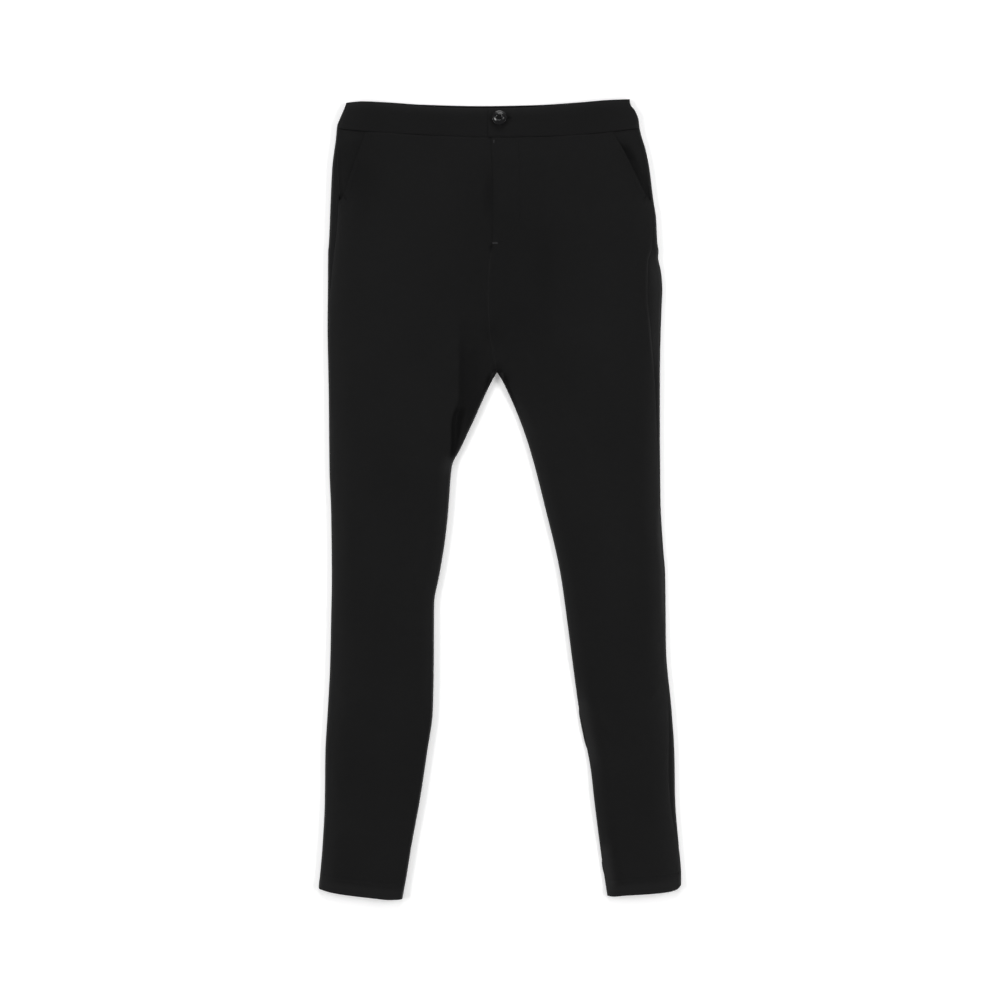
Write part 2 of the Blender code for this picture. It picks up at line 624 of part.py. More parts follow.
def main():
    for old in list(bpy.data.objects):
        bpy.data.objects.remove(old, do_unlink=True)
    collection = bpy.data.collections.new("trousers")
    cutters = bpy.data.collections.new("cutters")
    for group in (collection, cutters):
        bpy.context.scene.collection.children.link(group)

    cloth = make_material("black stretch cloth", BLACK_CLOTH, 0.9)
    band = make_material("black waistband cloth", BLACK_BAND, 0.9)
    facing = make_material("black facing cloth", BLACK_FACING, 0.9)
    gloss = make_material("black button", BLACK_BUTTON, 0.25)

    rows = len(ROW_DROPS)
    for leg, name in ((RIGHT, "right"), (LEFT, "left")):
        creased = MIDDLE_COLUMNS + (CREASE_COLUMNS if leg is RIGHT else 0)
        front_columns = 2 * EDGE_COLUMNS + creased
        back_columns = ROLL_COLUMNS + EDGE_COLUMNS + BACK_FLAT_COLUMNS
        band_columns = EDGE_COLUMNS + len(BAND_EDGE) + MIDDLE_COLUMNS

        def front(column, row, depth, leg=leg, count=front_columns):
            return front_point(leg, column, count, ROW_DROPS[row], depth)

        def back(column, row, depth, leg=leg, count=back_columns):
            return back_point(leg, column, count, ROW_DROPS[row], depth)

        def pocket(column, row, depth, leg=leg, count=EDGE_COLUMNS + 1):
            return facing_point(leg, column, count, FACING_DROPS[row], depth)

        def front_band(column, row, depth, leg=leg, count=band_columns):
            return front_band_point(leg, column, count, row, depth)

        cloth_wall(f"front_{name}", front_columns, rows, front, cloth, collection)
        cloth_wall(f"back_{name}", back_columns, rows, back, cloth, collection)
        cloth_wall(
            f"pocket_facing_{name}", EDGE_COLUMNS + 1, len(FACING_DROPS), pocket, facing, collection,
        )
        cloth_wall(
            f"waistband_front_{name}", band_columns, BAND_ROWS, front_band, band, collection,
        )

    back_columns = 2 * ROLL_COLUMNS + BAND_FLAT_COLUMNS

    def back_band(column, row, depth):
        return back_band_point(column, back_columns, row, depth)

    cloth_wall("waistband_back", back_columns, BAND_ROWS, back_band, band, collection)
    make_button(gloss, collection, cutters)


main()
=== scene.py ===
# %% [markdown]
# # Skinny stretch trousers, laid flat with the front up
# A pair of trousers is a few flat panels of cloth sewn into two tubes and closed by a band.
# Laid on a table, each leg is two layers of cloth that turn over at both edges, so the
# garment is only a few millimetres high and its outline is the edge of that turn.
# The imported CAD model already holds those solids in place. This lesson dresses them: every
# solid is replaced by a thin shell of cloth with crown, creases, seams and stitches.

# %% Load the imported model
import math

import bpy
import numpy as np
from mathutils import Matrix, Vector


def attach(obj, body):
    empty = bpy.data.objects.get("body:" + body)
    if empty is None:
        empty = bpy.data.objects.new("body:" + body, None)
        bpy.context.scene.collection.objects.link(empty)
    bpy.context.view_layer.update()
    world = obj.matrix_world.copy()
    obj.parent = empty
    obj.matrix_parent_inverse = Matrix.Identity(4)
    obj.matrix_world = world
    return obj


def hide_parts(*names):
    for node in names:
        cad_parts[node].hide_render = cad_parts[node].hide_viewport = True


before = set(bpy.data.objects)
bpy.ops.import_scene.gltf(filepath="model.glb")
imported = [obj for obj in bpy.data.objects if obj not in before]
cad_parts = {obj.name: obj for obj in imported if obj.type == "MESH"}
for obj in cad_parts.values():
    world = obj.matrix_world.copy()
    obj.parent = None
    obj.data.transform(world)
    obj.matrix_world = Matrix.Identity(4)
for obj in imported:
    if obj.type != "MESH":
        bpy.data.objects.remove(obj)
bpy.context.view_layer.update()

# %% [markdown]
# ## Sizes
# The garment is drawn in millimetres. "Drop" is the way down from the highest point of the
# waistband, and x is the way across, with the wearer's right leg at the left. All the
# heights come from two layers of cloth: a leg that lies flat is one rolled edge high.

# %% Driving sizes, in millimetres
LENGTH = 1000.0
CLOTH = 1.2
HEM_CLOTH = 2.2
BAND_CLOTH = 2.0
EDGE_CLOTH, BAND_EDGE_CLOTH = 0.6, 0.8
SEAM_GAP = 0.03
LEG_HEIGHT = 5.2
BAND_HEIGHT = 5.6
CROTCH_DROP = 341.6
HEM_TURN_UP = 20.0
FLY_UNDERLAP = 10.3
FLY_END_DROP = 180.0
FLY_RISE, FLY_DIP, FLY_UNDER_DIP = 0.45, 0.22, 0.68
BAND_OVER_X = -14.5
BAND_UNDER_X = 12.0
BAND_RISE, BAND_DIP, BAND_UNDER_DIP = 0.5, 0.42, 1.15
MOUTH_END_DROP = 126.0
FACING_DIP, FACING_UNDER_DIP = 0.5, 0.9
FACING_UNDERLAP = 10.0
BACK_SEAM_ASIDE = 4.0
BUTTON_X, BUTTON_DROP, BUTTON_RADIUS = -0.9, 24.6, 9.0

# %% [markdown]
# ## Outlines
# The outline is kept as short tables of where each edge lies at some drops. A smooth line
# through them that never overshoots keeps straight parts straight, as a cutter's curve does.

# %% Edges of the legs
RIGHT_OUTER = [
    (0, -190.5), (9, -193.5), (24, -199.8), (34, -203.6), (48, -204.9), (85, -209.6),
    (126, -211.6), (180, -213.8), (192, -214.8), (238, -215.1), (281, -215.5),
    (369, -214.0), (463, -213.1), (519, -211.0), (600, -210.2), (650, -211.1),
    (707, -212.3), (763, -215.2), (819, -218.3), (875, -218.9), (932, -221.7),
    (969, -224.9), (985, -226.5), (1000, -224.5),
]
RIGHT_INNER = [
    (341.6, -3.75), (350, -8.9), (407, -35.3), (444, -53.2), (451, -57.4), (460, -60.2),
    (519, -65.0), (557, -69.4), (594, -75.6), (632, -82.3), (707, -82.7), (763, -83.8),
    (819, -91.4), (875, -99.9), (932, -110.4), (969, -116.4), (1000, -122.0),
]
LEFT_OUTER = [
    (0, 161.9), (7, 163.2), (15, 169.0), (26, 173.2), (36, 174.4), (48, 177.3), (63, 181.9),
    (85, 186.4), (126, 191.6), (148, 195.0), (180, 196.7), (190, 198.2), (198, 197.5),
    (207, 199.4), (220, 201.8), (238, 203.0), (262, 201.9), (341, 199.9), (388, 199.8),
    (500, 200.6), (557, 203.6), (594, 206.4), (688, 207.6), (763, 214.4), (819, 218.0),
    (875, 218.9), (932, 223.4), (969, 226.4), (985, 226.4), (1000, 223.5),
]
LEFT_INNER = [
    (341.6, -3.75), (350, 1.8), (407, 27.0), (444, 39.2), (500, 53.8), (594, 75.6),
    (650, 83.6), (725, 93.4), (763, 98.8), (838, 113.4), (875, 117.6), (950, 127.2),
    (1000, 134.8),
]
CENTRE_LINE = [
    (0, -11.0), (48, -11.0), (96, -9.0), (180, -9.5), (192, -11.5), (238, -15.0),
    (281, -13.8), (341.6, -3.75),
]
# How far each side seam has rolled on to the front, along the cloth from the edge's middle.
RIGHT_ROLL = [
    (0, 4.8), (48, 5.0), (85, 8.0), (126, 12.0), (180, 10.0), (238, 5.0), (341, 1.0),
    (407, 0.0), (632, 0.0), (763, 2.0), (875, 0.5), (1000, 0.0),
]
LEFT_ROLL = [
    (0, 4.8), (126, 4.8), (148, 5.2), (180, 8.5), (220, 19.0), (238, 20.5), (281, 15.5),
    (341, 9.0), (425, 5.0), (538, 3.0), (688, 3.0), (763, 5.5), (838, 9.5), (932, 4.0),
    (1000, 2.0),
]

# %% Lines across, and the pocket mouths
BACK_RIM = [
    (-195, 5.2), (-172, 2.6), (-140, 4.0), (-97, 6.9), (-22, 8.7), (45, 7.4), (95, 4.3),
    (138, 0.8), (165, 0.0),
]
FRONT_RIM = [
    (-195, 5.2), (-172, 3.6), (-140, 5.6), (-110, 8.6), (-80, 10.8), (-40, 12.0),
    (0, 12.3), (30, 11.4), (65, 8.6), (95, 5.6), (130, 2.2), (165, 0.4),
]
FRONT_BAND_SEAM = [
    (-205, 37.0), (-172, 40.6), (-125, 43.6), (-62, 47.0), (-10, 48.3), (50, 47.5),
    (100, 45.0), (138, 41.5), (176, 36.5),
]
BACK_BAND_SEAM = [
    (-205, 37.0), (-172, 38.5), (-100, 39.5), (0, 40.0), (100, 39.0), (176, 36.5),
]
RIGHT_HEM = [
    (-226, 986.5), (-211, 990.8), (-190, 994.2), (-158, 998.0), (-137, 1000.0), (-122, 999.3),
]
LEFT_HEM = [
    (134, 995.4), (141, 996.0), (155, 994.6), (187, 992.6), (212, 989.8), (221, 987.0),
    (226, 982.0),
]
# The slanted mouths, as a distance in from the leg's outer edge.
RIGHT_MOUTH = [(36, 38.0), (62, 31.5), (89, 25.0), (113, 18.5), (127, 13.6)]
LEFT_MOUTH = [(36, 36.5), (62, 29.0), (89, 20.5), (113, 11.8), (127, 6.0)]


# %% Smooth lines through the tables
def smooth(start, end, value):
    """0 before start, 1 after end, and a soft S between them."""
    t = np.clip((value - start) / (end - start), 0.0, 1.0)
    return t * t * (3.0 - 2.0 * t)


def mix(a, b, t):
    return a + (b - a) * t


def line(rows):
    """A smooth line through a table's rows, with no overshoot between them."""
    keys, values = np.array(rows, float).T
    steps, rises = np.diff(keys), np.diff(values)
    slopes = rises / steps
    before, after = slopes[:-1], slopes[1:]
    total = np.where(before * after > 0.0, before + after, 1.0)
    inner = np.where(before * after > 0.0, 2.0 * before * after / total, 0.0)
    pulls = np.concatenate([slopes[:1], inner, slopes[-1:]])

    def at(place):
        place = np.clip(place, keys[0], keys[-1])
        i = np.clip(np.searchsorted(keys, place) - 1, 0, len(steps) - 1)
        t = (place - keys[i]) / steps[i]
        start, end = pulls[i] * steps[i] - rises[i], rises[i] - pulls[i + 1] * steps[i]
        return values[i] + rises[i] * t + t * (1 - t) * (start * (1 - t) + end * t)

    return at


centre_line = line(CENTRE_LINE)
back_rim, front_rim = line(BACK_RIM), line(FRONT_RIM)
front_band_seam, back_band_seam = line(FRONT_BAND_SEAM), line(BACK_BAND_SEAM)
print("centre line at the crotch, mm:", round(float(centre_line(CROTCH_DROP)), 2))

# %% [markdown]
# ## How full each leg lies
# Cloth that turns over at an edge doesn't go flat at once. It rises over two or three
# centimetres to a low crown, and that is why a black leg looks lighter along its edges: the
# cloth there leans towards the lights at the sides. How far it falls at each edge, and over
# what width, is set for each leg in a table by drop.

# %% Crown of the legs
CROWN = 2.7
LEGS_PART = CROTCH_DROP - 30.0, CROTCH_DROP + 40.0
RIGHT_OUTER_FALL = [
    (0, 1.6), (60, 1.7), (150, 2.3), (200, 2.6), (300, 2.4), (600, 2.7), (760, 2.6),
    (860, 2.7), (930, 2.2), (1000, 3.0),
]
RIGHT_OUTER_REACH = [(0, 30.0), (1000, 30.0)]
RIGHT_INNER_FALL = [(341, 0.6), (460, 0.9), (600, 1.1), (760, 0.7), (900, 0.6), (1000, 0.9)]
LEFT_OUTER_FALL = [
    (0, 1.6), (60, 2.3), (150, 1.8), (200, 1.0), (290, 0.8), (340, 2.4), (420, 3.0), (560, 3.1),
    (800, 2.8), (1000, 2.9),
]
LEFT_OUTER_REACH = [(0, 30.0), (180, 30.0), (210, 19.0), (255, 18.0), (300, 27.0), (1000, 30.0)]
LEFT_INNER_FALL = [
    (341, 0.8), (362, 1.6), (385, 3.2), (410, 3.6), (440, 3.0), (560, 3.2), (700, 3.4), (745, 5.0),
    (790, 5.6), (830, 4.8), (870, 3.2), (925, 4.4), (955, 5.4), (985, 5.0), (1000, 4.4),
]
# Where the left side seam has rolled on to the front, the strip outside it leans evenly.
SEAM_STRIP_FALL = [
    (0, 0.0), (165, 0.0), (196, 1.4), (215, 3.0), (290, 3.0), (325, 1.2), (350, 0.0), (1000, 0.0),
]
# A narrow turned edge, as a fall within a few millimetres.
EDGE_TURN = [(0, 0.0), (500, 0.0), (545, 1.3), (628, 1.3), (660, 0.0), (1000, 0.0)]
EDGE_TURN_REACH = 8.0
seam_strip_fall, edge_turn = line(SEAM_STRIP_FALL), line(EDGE_TURN)


class Leg:
    """One leg: side is -1 for the wearer's right leg and +1 for the left."""

    def __init__(self, side, shape, falls, inner_reach):
        self.side, self.inner_reach = side, inner_reach
        self.outer, self.below_crotch, self.roll, self.hem, self.mouth = map(line, shape)
        self.outer_fall, self.outer_reach, self.inner_fall = map(line, falls)

    def inner(self, drop):
        return np.where(drop < CROTCH_DROP, centre_line(drop), self.below_crotch(drop))

    def x_at(self, inset, drop):
        """x of a place this far in from the leg's outer edge."""
        return self.outer(drop) - self.side * inset

    def crown(self, inset, drop):
        """Height of the cloth's crown, this far in from the outer edge."""
        width = np.abs(self.inner(drop) - self.outer(drop))
        outer = np.clip(1.0 - inset / self.outer_reach(drop), 0.0, 1.0) ** 2
        inner = np.clip(1.0 - (width - inset) / self.inner_reach, 0.0, 1.0) ** 2
        parted = smooth(*LEGS_PART, drop)
        crown = CROWN - self.outer_fall(drop) * outer - self.inner_fall(drop) * inner * parted
        if self.side < 0:
            return crown
        strip = np.clip(1.0 - inset / (self.roll(drop) + 1.0), 0.0, 1.0)
        turned = np.clip(1.0 - inset / EDGE_TURN_REACH, 0.0, 1.0) ** 2
        return crown - seam_strip_fall(drop) * strip - edge_turn(drop) * turned


RIGHT = Leg(
    -1, (RIGHT_OUTER, RIGHT_INNER, RIGHT_ROLL, RIGHT_HEM, RIGHT_MOUTH),
    (RIGHT_OUTER_FALL, RIGHT_OUTER_REACH, RIGHT_INNER_FALL), inner_reach=16.0)
LEFT = Leg(
    +1, (LEFT_OUTER, LEFT_INNER, LEFT_ROLL, LEFT_HEM, LEFT_MOUTH),
    (LEFT_OUTER_FALL, LEFT_OUTER_REACH, LEFT_INNER_FALL), inner_reach=25.0)
for leg in (RIGHT, LEFT):
    print("width of a leg at the hem, mm:", round(float(abs(leg.inner(LENGTH) - leg.outer(LENGTH)))))

# %% [markdown]
# ## Creases
# Pressed stretch cloth has few creases, and they are soft: long shallow ridges and hollows
# that follow the legs, a fan of short ones at the crotch, and some across the knees and
# ankles. Each is a small hill or trough at its own place, length, width, height and lean.
# The back lies on the table, so its creases can only be hollows that rise from it.

# %% Creases of the fronts and of the backs
# x, drop, half length, half width, height, lean from the leg's line in degrees
FRONT_CREASES = [
    (-150, 235, 90, 26, 0.8, 14), (-84, 300, 70, 24, -0.6, -18), (70, 262, 80, 26, 0.7, -22),
    (150, 300, 95, 24, -0.6, 8), (-160, 470, 130, 24, 0.6, 3), (-112, 560, 110, 22, -0.5, -5),
    (105, 470, 120, 24, 0.7, 10), (160, 560, 120, 22, -0.5, 4), (-170, 720, 90, 22, 0.6, -6),
    (-120, 700, 60, 20, 0.6, 12), (130, 690, 80, 20, 0.7, 14), (178, 800, 90, 20, 0.5, 4),
    (-150, 880, 60, 22, -0.4, 8), (192, 245, 45, 12, 0.6, 5),
    (-38, 318, 34, 5.5, 0.40, -38), (-62, 300, 40, 6.5, -0.35, -52), (30, 322, 38, 6.0, 0.38, 34),
    (52, 300, 42, 7.0, -0.32, 50), (14, 292, 26, 5.0, -0.30, 22), (76, 318, 30, 6.0, 0.28, 62),
    (-179, 134, 15, 8.0, 0.50, 10), (-160, 160, 34, 8.0, -0.25, 46), (-184, 226, 22, 5.0, 0.30, 20),
    (100, 140, 17, 3.6, 0.34, 2), (109, 144, 17, 3.4, -0.28, 2), (168, 150, 30, 6.5, 0.30, -30),
    (66, 214, 58, 12.0, -0.45, 0), (-75, 210, 46, 11.0, -0.40, 4), (-26, 250, 36, 15.0, -0.40, 12),
    (98, 398, 44, 8.0, -0.30, 24), (148, 420, 50, 9.0, 0.28, -6), (-146, 404, 48, 8.0, 0.26, 6),
    (-92, 430, 36, 7.0, 0.30, -16), (-190, 540, 36, 6.0, 0.26, 4), (-168, 612, 26, 6.0, 0.32, 62),
    (-120, 640, 30, 6.5, -0.30, 70), (-186, 668, 22, 5.0, 0.30, 50), (-104, 610, 18, 5.0, 0.34, 66),
    (128, 604, 26, 6.0, 0.32, -64), (172, 636, 28, 6.0, -0.30, -70), (186, 596, 20, 5.0, 0.28, -58),
    (112, 655, 20, 5.0, 0.32, -52), (-196, 742, 20, 4.5, 0.30, 30), (-148, 788, 26, 5.5, -0.26, 60),
    (124, 772, 22, 4.6, 0.42, 36), (134, 800, 16, 4.0, -0.36, 48), (192, 742, 20, 4.6, 0.34, -40),
    (204, 700, 18, 4.2, 0.30, -34), (-110, 868, 18, 4.5, 0.34, 52), (-136, 905, 22, 5.0, 0.28, 66),
    (-196, 916, 18, 4.5, 0.30, -40), (150, 878, 18, 4.4, 0.34, -56), (176, 918, 22, 5.0, 0.28, -66),
    (142, 936, 16, 4.0, 0.30, -48), (-206, 850, 24, 4.6, 0.24, 14),
]
BACK_CREASES = [
    (-150, 230, 80, 22, 0.7, 12), (-70, 268, 70, 18, 0.9, -26), (62, 262, 76, 18, 0.9, 26),
    (142, 236, 84, 22, 0.7, -10), (-24, 318, 36, 7, 0.9, -24), (26, 322, 34, 7, 0.8, 28),
    (-58, 336, 34, 8, 0.8, -48), (66, 338, 36, 8, 0.7, 50), (-40, 378, 30, 6, 0.7, -16),
    (48, 384, 30, 6, 0.7, 18), (-150, 440, 100, 16, 0.7, 6), (-104, 520, 90, 12, 0.6, -8),
    (118, 452, 100, 16, 0.7, -6), (168, 540, 80, 12, 0.6, 6), (-150, 600, 34, 8, 0.9, 74),
    (-130, 628, 30, 7, 0.8, 66), (-166, 650, 28, 6, 0.7, 80), (142, 596, 34, 8, 0.9, -72),
    (160, 626, 28, 7, 0.8, -64), (132, 652, 28, 6, 0.7, -80), (-160, 742, 60, 12, 0.6, 4),
    (-138, 800, 40, 7, 0.6, 24), (160, 752, 60, 12, 0.6, -4), (178, 812, 38, 7, 0.6, -22),
    (-150, 884, 24, 6, 0.7, 68), (-168, 920, 22, 5, 0.6, 60), (166, 890, 24, 6, 0.7, -70),
    (188, 924, 20, 5, 0.6, -58), (-186, 150, 30, 7, 0.6, 30), (172, 146, 30, 7, 0.6, -30),
]
print("creases on the fronts and on the backs:", len(FRONT_CREASES), len(BACK_CREASES))


# Creases fade in below the band and fade out above the hem.
CREASES_START, CREASES_END = (52.0, 110.0), (940.0, 978.0)


def creases(table, x, drop):
    """Height of a table's ridges and hollows at these places."""
    total = np.zeros_like(x)
    for at_x, at_drop, half_length, half_width, height, lean in table:
        turn = math.radians(lean)
        dx, dd = x - at_x, drop - at_drop
        across = (dx * math.cos(turn) - dd * math.sin(turn)) / half_width
        along = (dx * math.sin(turn) + dd * math.cos(turn)) / half_length
        total += height * np.exp(-across * across - along * along)
    return total * smooth(*CREASES_START, drop) * (1.0 - smooth(*CREASES_END, drop))


# %% [markdown]
# ## The fold at the inner thigh
# On the wearer's right leg the cloth rolls over a little beside the crotch. The cloth past
# the fold lies lower and in shade, down to where the fold runs out at the leg's inner edge.
# A high step would catch the side light as a bright line, so this one is a low soft S in
# the surface that fades in and out, and the shade beside it is painted into the cloth's colour.

# %% Where the fold runs, and how deep it is
FOLD_X = line([
    (48, -49.0), (262, -49.0), (306, -49.6), (343, -49.8), (372, -50.0), (382, -51.2),
    (390, -53.8), (398, -56.2), (407, -57.3), (420, -57.4), (432, -57.6), (443, -58.8),
    (456, -61.0), (480, -62.0),
])
FOLD_DEPTH = line([
    (48, 0.0), (270, 0.0), (300, 0.1), (360, 0.25), (376, 0.4), (395, 0.55), (430, 0.4),
    (440, 0.25), (450, 0.1), (458, 0.0), (1000, 0.0),
])
# The fold stays at least this far from the inner edge.
FOLD_LEAST = 4.5
FOLD_RIDGE, FOLD_STEP, FOLD_SOFTNESS, FOLD_PAST = 0.3, 1.5, 2.6, 2.0
RIDGE_REACH, HOLLOW_REACH = 30.0, (3.0, 20.0)
# How deep the painted shade past the fold is, first by drop, then by the way past the fold.
BESIDE_FOLD = line([
    (48, 0.0), (262, 0.0), (286, 0.10), (306, 0.15), (322, 0.24), (345, 0.27), (372, 0.32),
    (392, 0.30), (408, 0.16), (425, 0.0), (1000, 0.0),
])
BESIDE_WAY = line([
    (-3.0, 0.0), (0.2, 0.9), (1.8, 1.0), (5.0, 0.9), (8.0, 0.72), (19.0, 0.66), (26.0, 0.45),
    (45.0, 0.3), (62.0, 0.0),
])
# The painted shadow in the pocket under the fold's lower part: how wide it is, and how dark.
POCKET_WIDTH = line([
    (48, 11.0), (392, 11.0), (400, 10.5), (408, 9.5), (418, 7.5), (430, 5.0), (443, 3.2),
    (1000, 2.4),
])
POCKET_DARK = line([
    (48, 0.0), (376, 0.0), (386, 0.4), (394, 0.85), (434, 0.9), (442, 0.7), (452, 0.0),
    (1000, 0.0),
])
POCKET_START, POCKET_END = (-5.0, -1.0), (0.5, 1.4)


def fold_inset(drop):
    """How far in from the right leg's outer edge the fold lies."""
    width = RIGHT.inner(drop) - RIGHT.outer(drop)
    return width - np.maximum(FOLD_LEAST, RIGHT.inner(drop) - FOLD_X(drop))


def fold_lift(inset, drop):
    """A ridge before the fold and a hollow past it, which rises again towards the edge."""
    past = inset - fold_inset(drop)
    step = 0.5 + 0.5 * np.tanh((past - FOLD_PAST) / FOLD_SOFTNESS)
    ridge = FOLD_RIDGE * (1.0 - smooth(0.0, RIDGE_REACH, -past)) * (1.0 - step)
    hollow = (FOLD_STEP - FOLD_RIDGE) * (1.0 - 0.6 * smooth(*HOLLOW_REACH, past)) * step
    return (ridge - hollow) * FOLD_DEPTH(drop)


def fold_shade(inset, drop):
    """Painted shade on the cloth past the fold, and painted shadow in the pocket under it."""
    past = inset - fold_inset(drop)
    pocket = smooth(*POCKET_START, past) * (1.0 - smooth(*POCKET_END, past / POCKET_WIDTH(drop)))
    return np.maximum(BESIDE_FOLD(drop) * BESIDE_WAY(past), POCKET_DARK(drop) * pocket)


# %% [markdown]
# ## Painted shade and light
# Some shade and light is painted into the cloth's colour: painted shade past the fold at the
# inner thigh, round the tip of the crotch, beside the fly and its end, beside the pocket
# mouths and over the upper middle of the fronts, and painted light along the rolled edges
# and above the hems. Both are kept as one value at each point, above zero for painted shade
# and below zero for painted light, which the finish reads later.

# %% Painted shade on the fronts
# x, drop, half width, half length, depth of the shade
SHADED = [
    (-14.5, 118.0, 5.0, 24.0, 0.15), (-172.0, 100.0, 26.0, 40.0, 0.09),
    (-3.8, 337.0, 6.0, 6.0, 0.26), (-12.0, 292.0, 14.0, 18.0, 0.10),
    (56.0, 215.0, 12.0, 60.0, 0.05), (-11.3, 186.5, 2.2, 1.8, 0.8),
    (20.0, 230.0, 60.0, 130.0, 0.07),
]
# The tip's painted shade, on the right leg (-1) and the left (1): where it ends, by drop, how
# wide it is in from the edge, and how much wider it is at its top.
TIP_START = CROTCH_DROP - 3.0, CROTCH_DROP + 3.0
TIP_END = {-1: (352.0, 392.0), 1: (372.0, 430.0)}
TIP_WIDTH, TIP_WIDER, TIP_WIDER_END = (1.4, 3.6), 1.3, (350.0, 366.0)
DEEPEST = 1.3


def shaded(leg, x, from_inner, drop):
    """How much painted shade darkens these places of a front."""
    total = np.zeros_like(x)
    for at_x, at_drop, half_width, half_length, depth in SHADED:
        across, along = (x - at_x) / half_width, (drop - at_drop) / half_length
        total += depth * np.exp(-across ** 2 - along ** 2)
    return total + tip_shade(leg, from_inner, drop)


def tip_shade(leg, from_inner, drop):
    """Painted shade round the tip of the crotch."""
    tip = smooth(*TIP_START, drop) * (1.0 - smooth(*TIP_END[leg.side], drop))
    wide = 1.0 + TIP_WIDER * (1.0 - smooth(*TIP_WIDER_END, drop))
    return DEEPEST * tip * (1.0 - smooth(*TIP_WIDTH, from_inner / wide))


# %% Painted light along the edges
# How much painted light lies along the cloth's rolled edges, by drop, on the right leg (-1)
# and the left (1).
OUTER_LIGHT = {
    -1: line([
        (0, 0.02), (230, 0.0), (520, 0.0), (560, 0.03), (760, 0.03), (840, 0.02), (935, 0.07),
        (962, 0.10), (1000, 0.10),
    ]),
    1: line([
        (0, 0.0), (230, 0.0), (375, 0.03), (620, 0.05), (700, 0.05), (800, 0.0), (1000, 0.0),
    ]),
}
INNER_LIGHT = {
    -1: line([
        (0, 0.0), (442, 0.0), (450, 0.3), (460, 0.3), (474, 0.13), (525, 0.11), (600, 0.08),
        (700, 0.07), (788, 0.01), (1000, 0.01),
    ]),
    1: line([
        (0, 0.0), (356, 0.0), (372, 0.08), (405, 0.09), (430, 0.04), (470, 0.07), (600, 0.07),
        (700, 0.06), (744, 0.08), (757, 0.25), (819, 0.25), (835, 0.12), (888, 0.10),
        (928, 0.12), (940, 0.32), (978, 0.32), (988, 0.18), (1000, 0.1),
    ]),
}
OUTER_LIT, INNER_LIT = (6.0, 22.0), (4.0, 17.0)


def edge_light(leg, from_outer, from_inner, drop):
    """The share of painted light on a panel along its two rolled edges."""
    outer = OUTER_LIGHT[leg.side](drop) * (1.0 - smooth(*OUTER_LIT, from_outer))
    inner = INNER_LIGHT[leg.side](drop) * (1.0 - smooth(*INNER_LIT, from_inner))
    return outer + inner


# %% [markdown]
# ## Cloth as a shell
# A panel starts as a flat grid of the right number of rows and columns. Its points are then
# laid on the form by a function, as one would lay a cloth over a body, and its UV map gets
# the cloth's own sizes in metres, so that the weave follows it round every edge. Solidify
# gives it thickness towards the inside, and a small bevel rounds the cut edges, which makes
# a fine groove wherever two panels meet. Where an edge is pressed thin, a vertex group tells
# Solidify what share of the thickness it has.

# %% A grid becomes a piece of cloth
CUT_EDGE_ANGLE, SMOOTH_ANGLE = math.radians(55.0), math.radians(50.0)


def deselect():
    bpy.ops.object.select_all(action="DESELECT")


def cloth_grid(name, columns, rows, place, thickness, bevel, mirrored, thin=None, shade=None):
    """place(column, row) gives x, drop, height, and the place along the cloth, all in mm."""
    deselect()
    bpy.ops.mesh.primitive_grid_add(x_subdivisions=columns - 1, y_subdivisions=rows - 1, size=1.0)
    piece = bpy.context.active_object
    piece.name = piece.data.name = name
    column, row = np.tile(np.arange(columns), rows), np.repeat(np.arange(rows)[::-1], columns)
    if mirrored:
        column = columns - 1 - column
    x, drop, height, across = place(column, row)
    points = np.stack([x, LENGTH / 2.0 - drop, height], 1) / 1000.0
    piece.data.vertices.foreach_set("co", points.astype(np.float32).ravel())
    corner = np.zeros(len(piece.data.loops), np.int32)
    piece.data.loops.foreach_get("vertex_index", corner)
    flat = np.stack([across, -drop], 1) / 1000.0
    piece.data.uv_layers[0].uv.foreach_set("vector", flat[corner].astype(np.float32).ravel())
    # The shade value: painted shade above zero, painted light below it.
    if shade is not None:
        tone = piece.data.attributes.new("shade", "FLOAT", "POINT")
        tone.data.foreach_set("value", shade(column, row, drop).astype(np.float32))
    shell = piece.modifiers.new("thickness", "SOLIDIFY")
    shell.thickness, shell.offset = thickness / 1000.0, -1.0
    if thin is not None:
        group = piece.vertex_groups.new(name="thickness")
        for i, weight in enumerate(thin(column, drop)):
            group.add([i], float(weight), "REPLACE")
        shell.vertex_group = group.name
    edge = piece.modifiers.new("cut edge", "BEVEL")
    edge.limit_method, edge.angle_limit = "ANGLE", CUT_EDGE_ANGLE
    edge.width, edge.segments = bevel / 1000.0, 3
    for modifier in ("thickness", "cut edge"):
        bpy.ops.object.modifier_apply(modifier=modifier)
    bpy.ops.object.shade_smooth_by_angle(angle=SMOOTH_ANGLE)
    print(name, "has", len(piece.data.polygons), "faces")
    return piece


def rolled(along, height):
    """Inset, height, and the outward direction, this far along the cloth round an edge."""
    radius = height / 2.0
    quarter = radius * math.pi / 2.0
    angle = np.clip(along, -quarter, quarter) / radius
    past = np.maximum(np.abs(along) - quarter, 0.0)
    return radius * (1 - np.cos(angle)) + past, radius * (1 + np.sin(angle)), np.sin(angle)


# The way along the cloth from the middle of a rolled edge to where it lies flat.
LEG_QUARTER, BAND_QUARTER = LEG_HEIGHT * math.pi / 4.0, BAND_HEIGHT * math.pi / 4.0
print("quarter turns of a leg's and the band's edge, mm:", round(LEG_QUARTER, 2), round(BAND_QUARTER, 2))


def side_seam(leg, drop, height=LEG_HEIGHT):
    """How far in from the outer edge the side seam lies, seen from above."""
    return rolled(leg.roll(drop), height)[0]


# %% [markdown]
# ## Rows and columns
# Rows run across the leg, 4 mm apart and closer at the pocket's end and the hem. The top
# rows follow the waistband's seam and the last ones the hem, and those between share the
# shift. Because a row's drop depends on x, and x on the drop, a few rounds settle both.

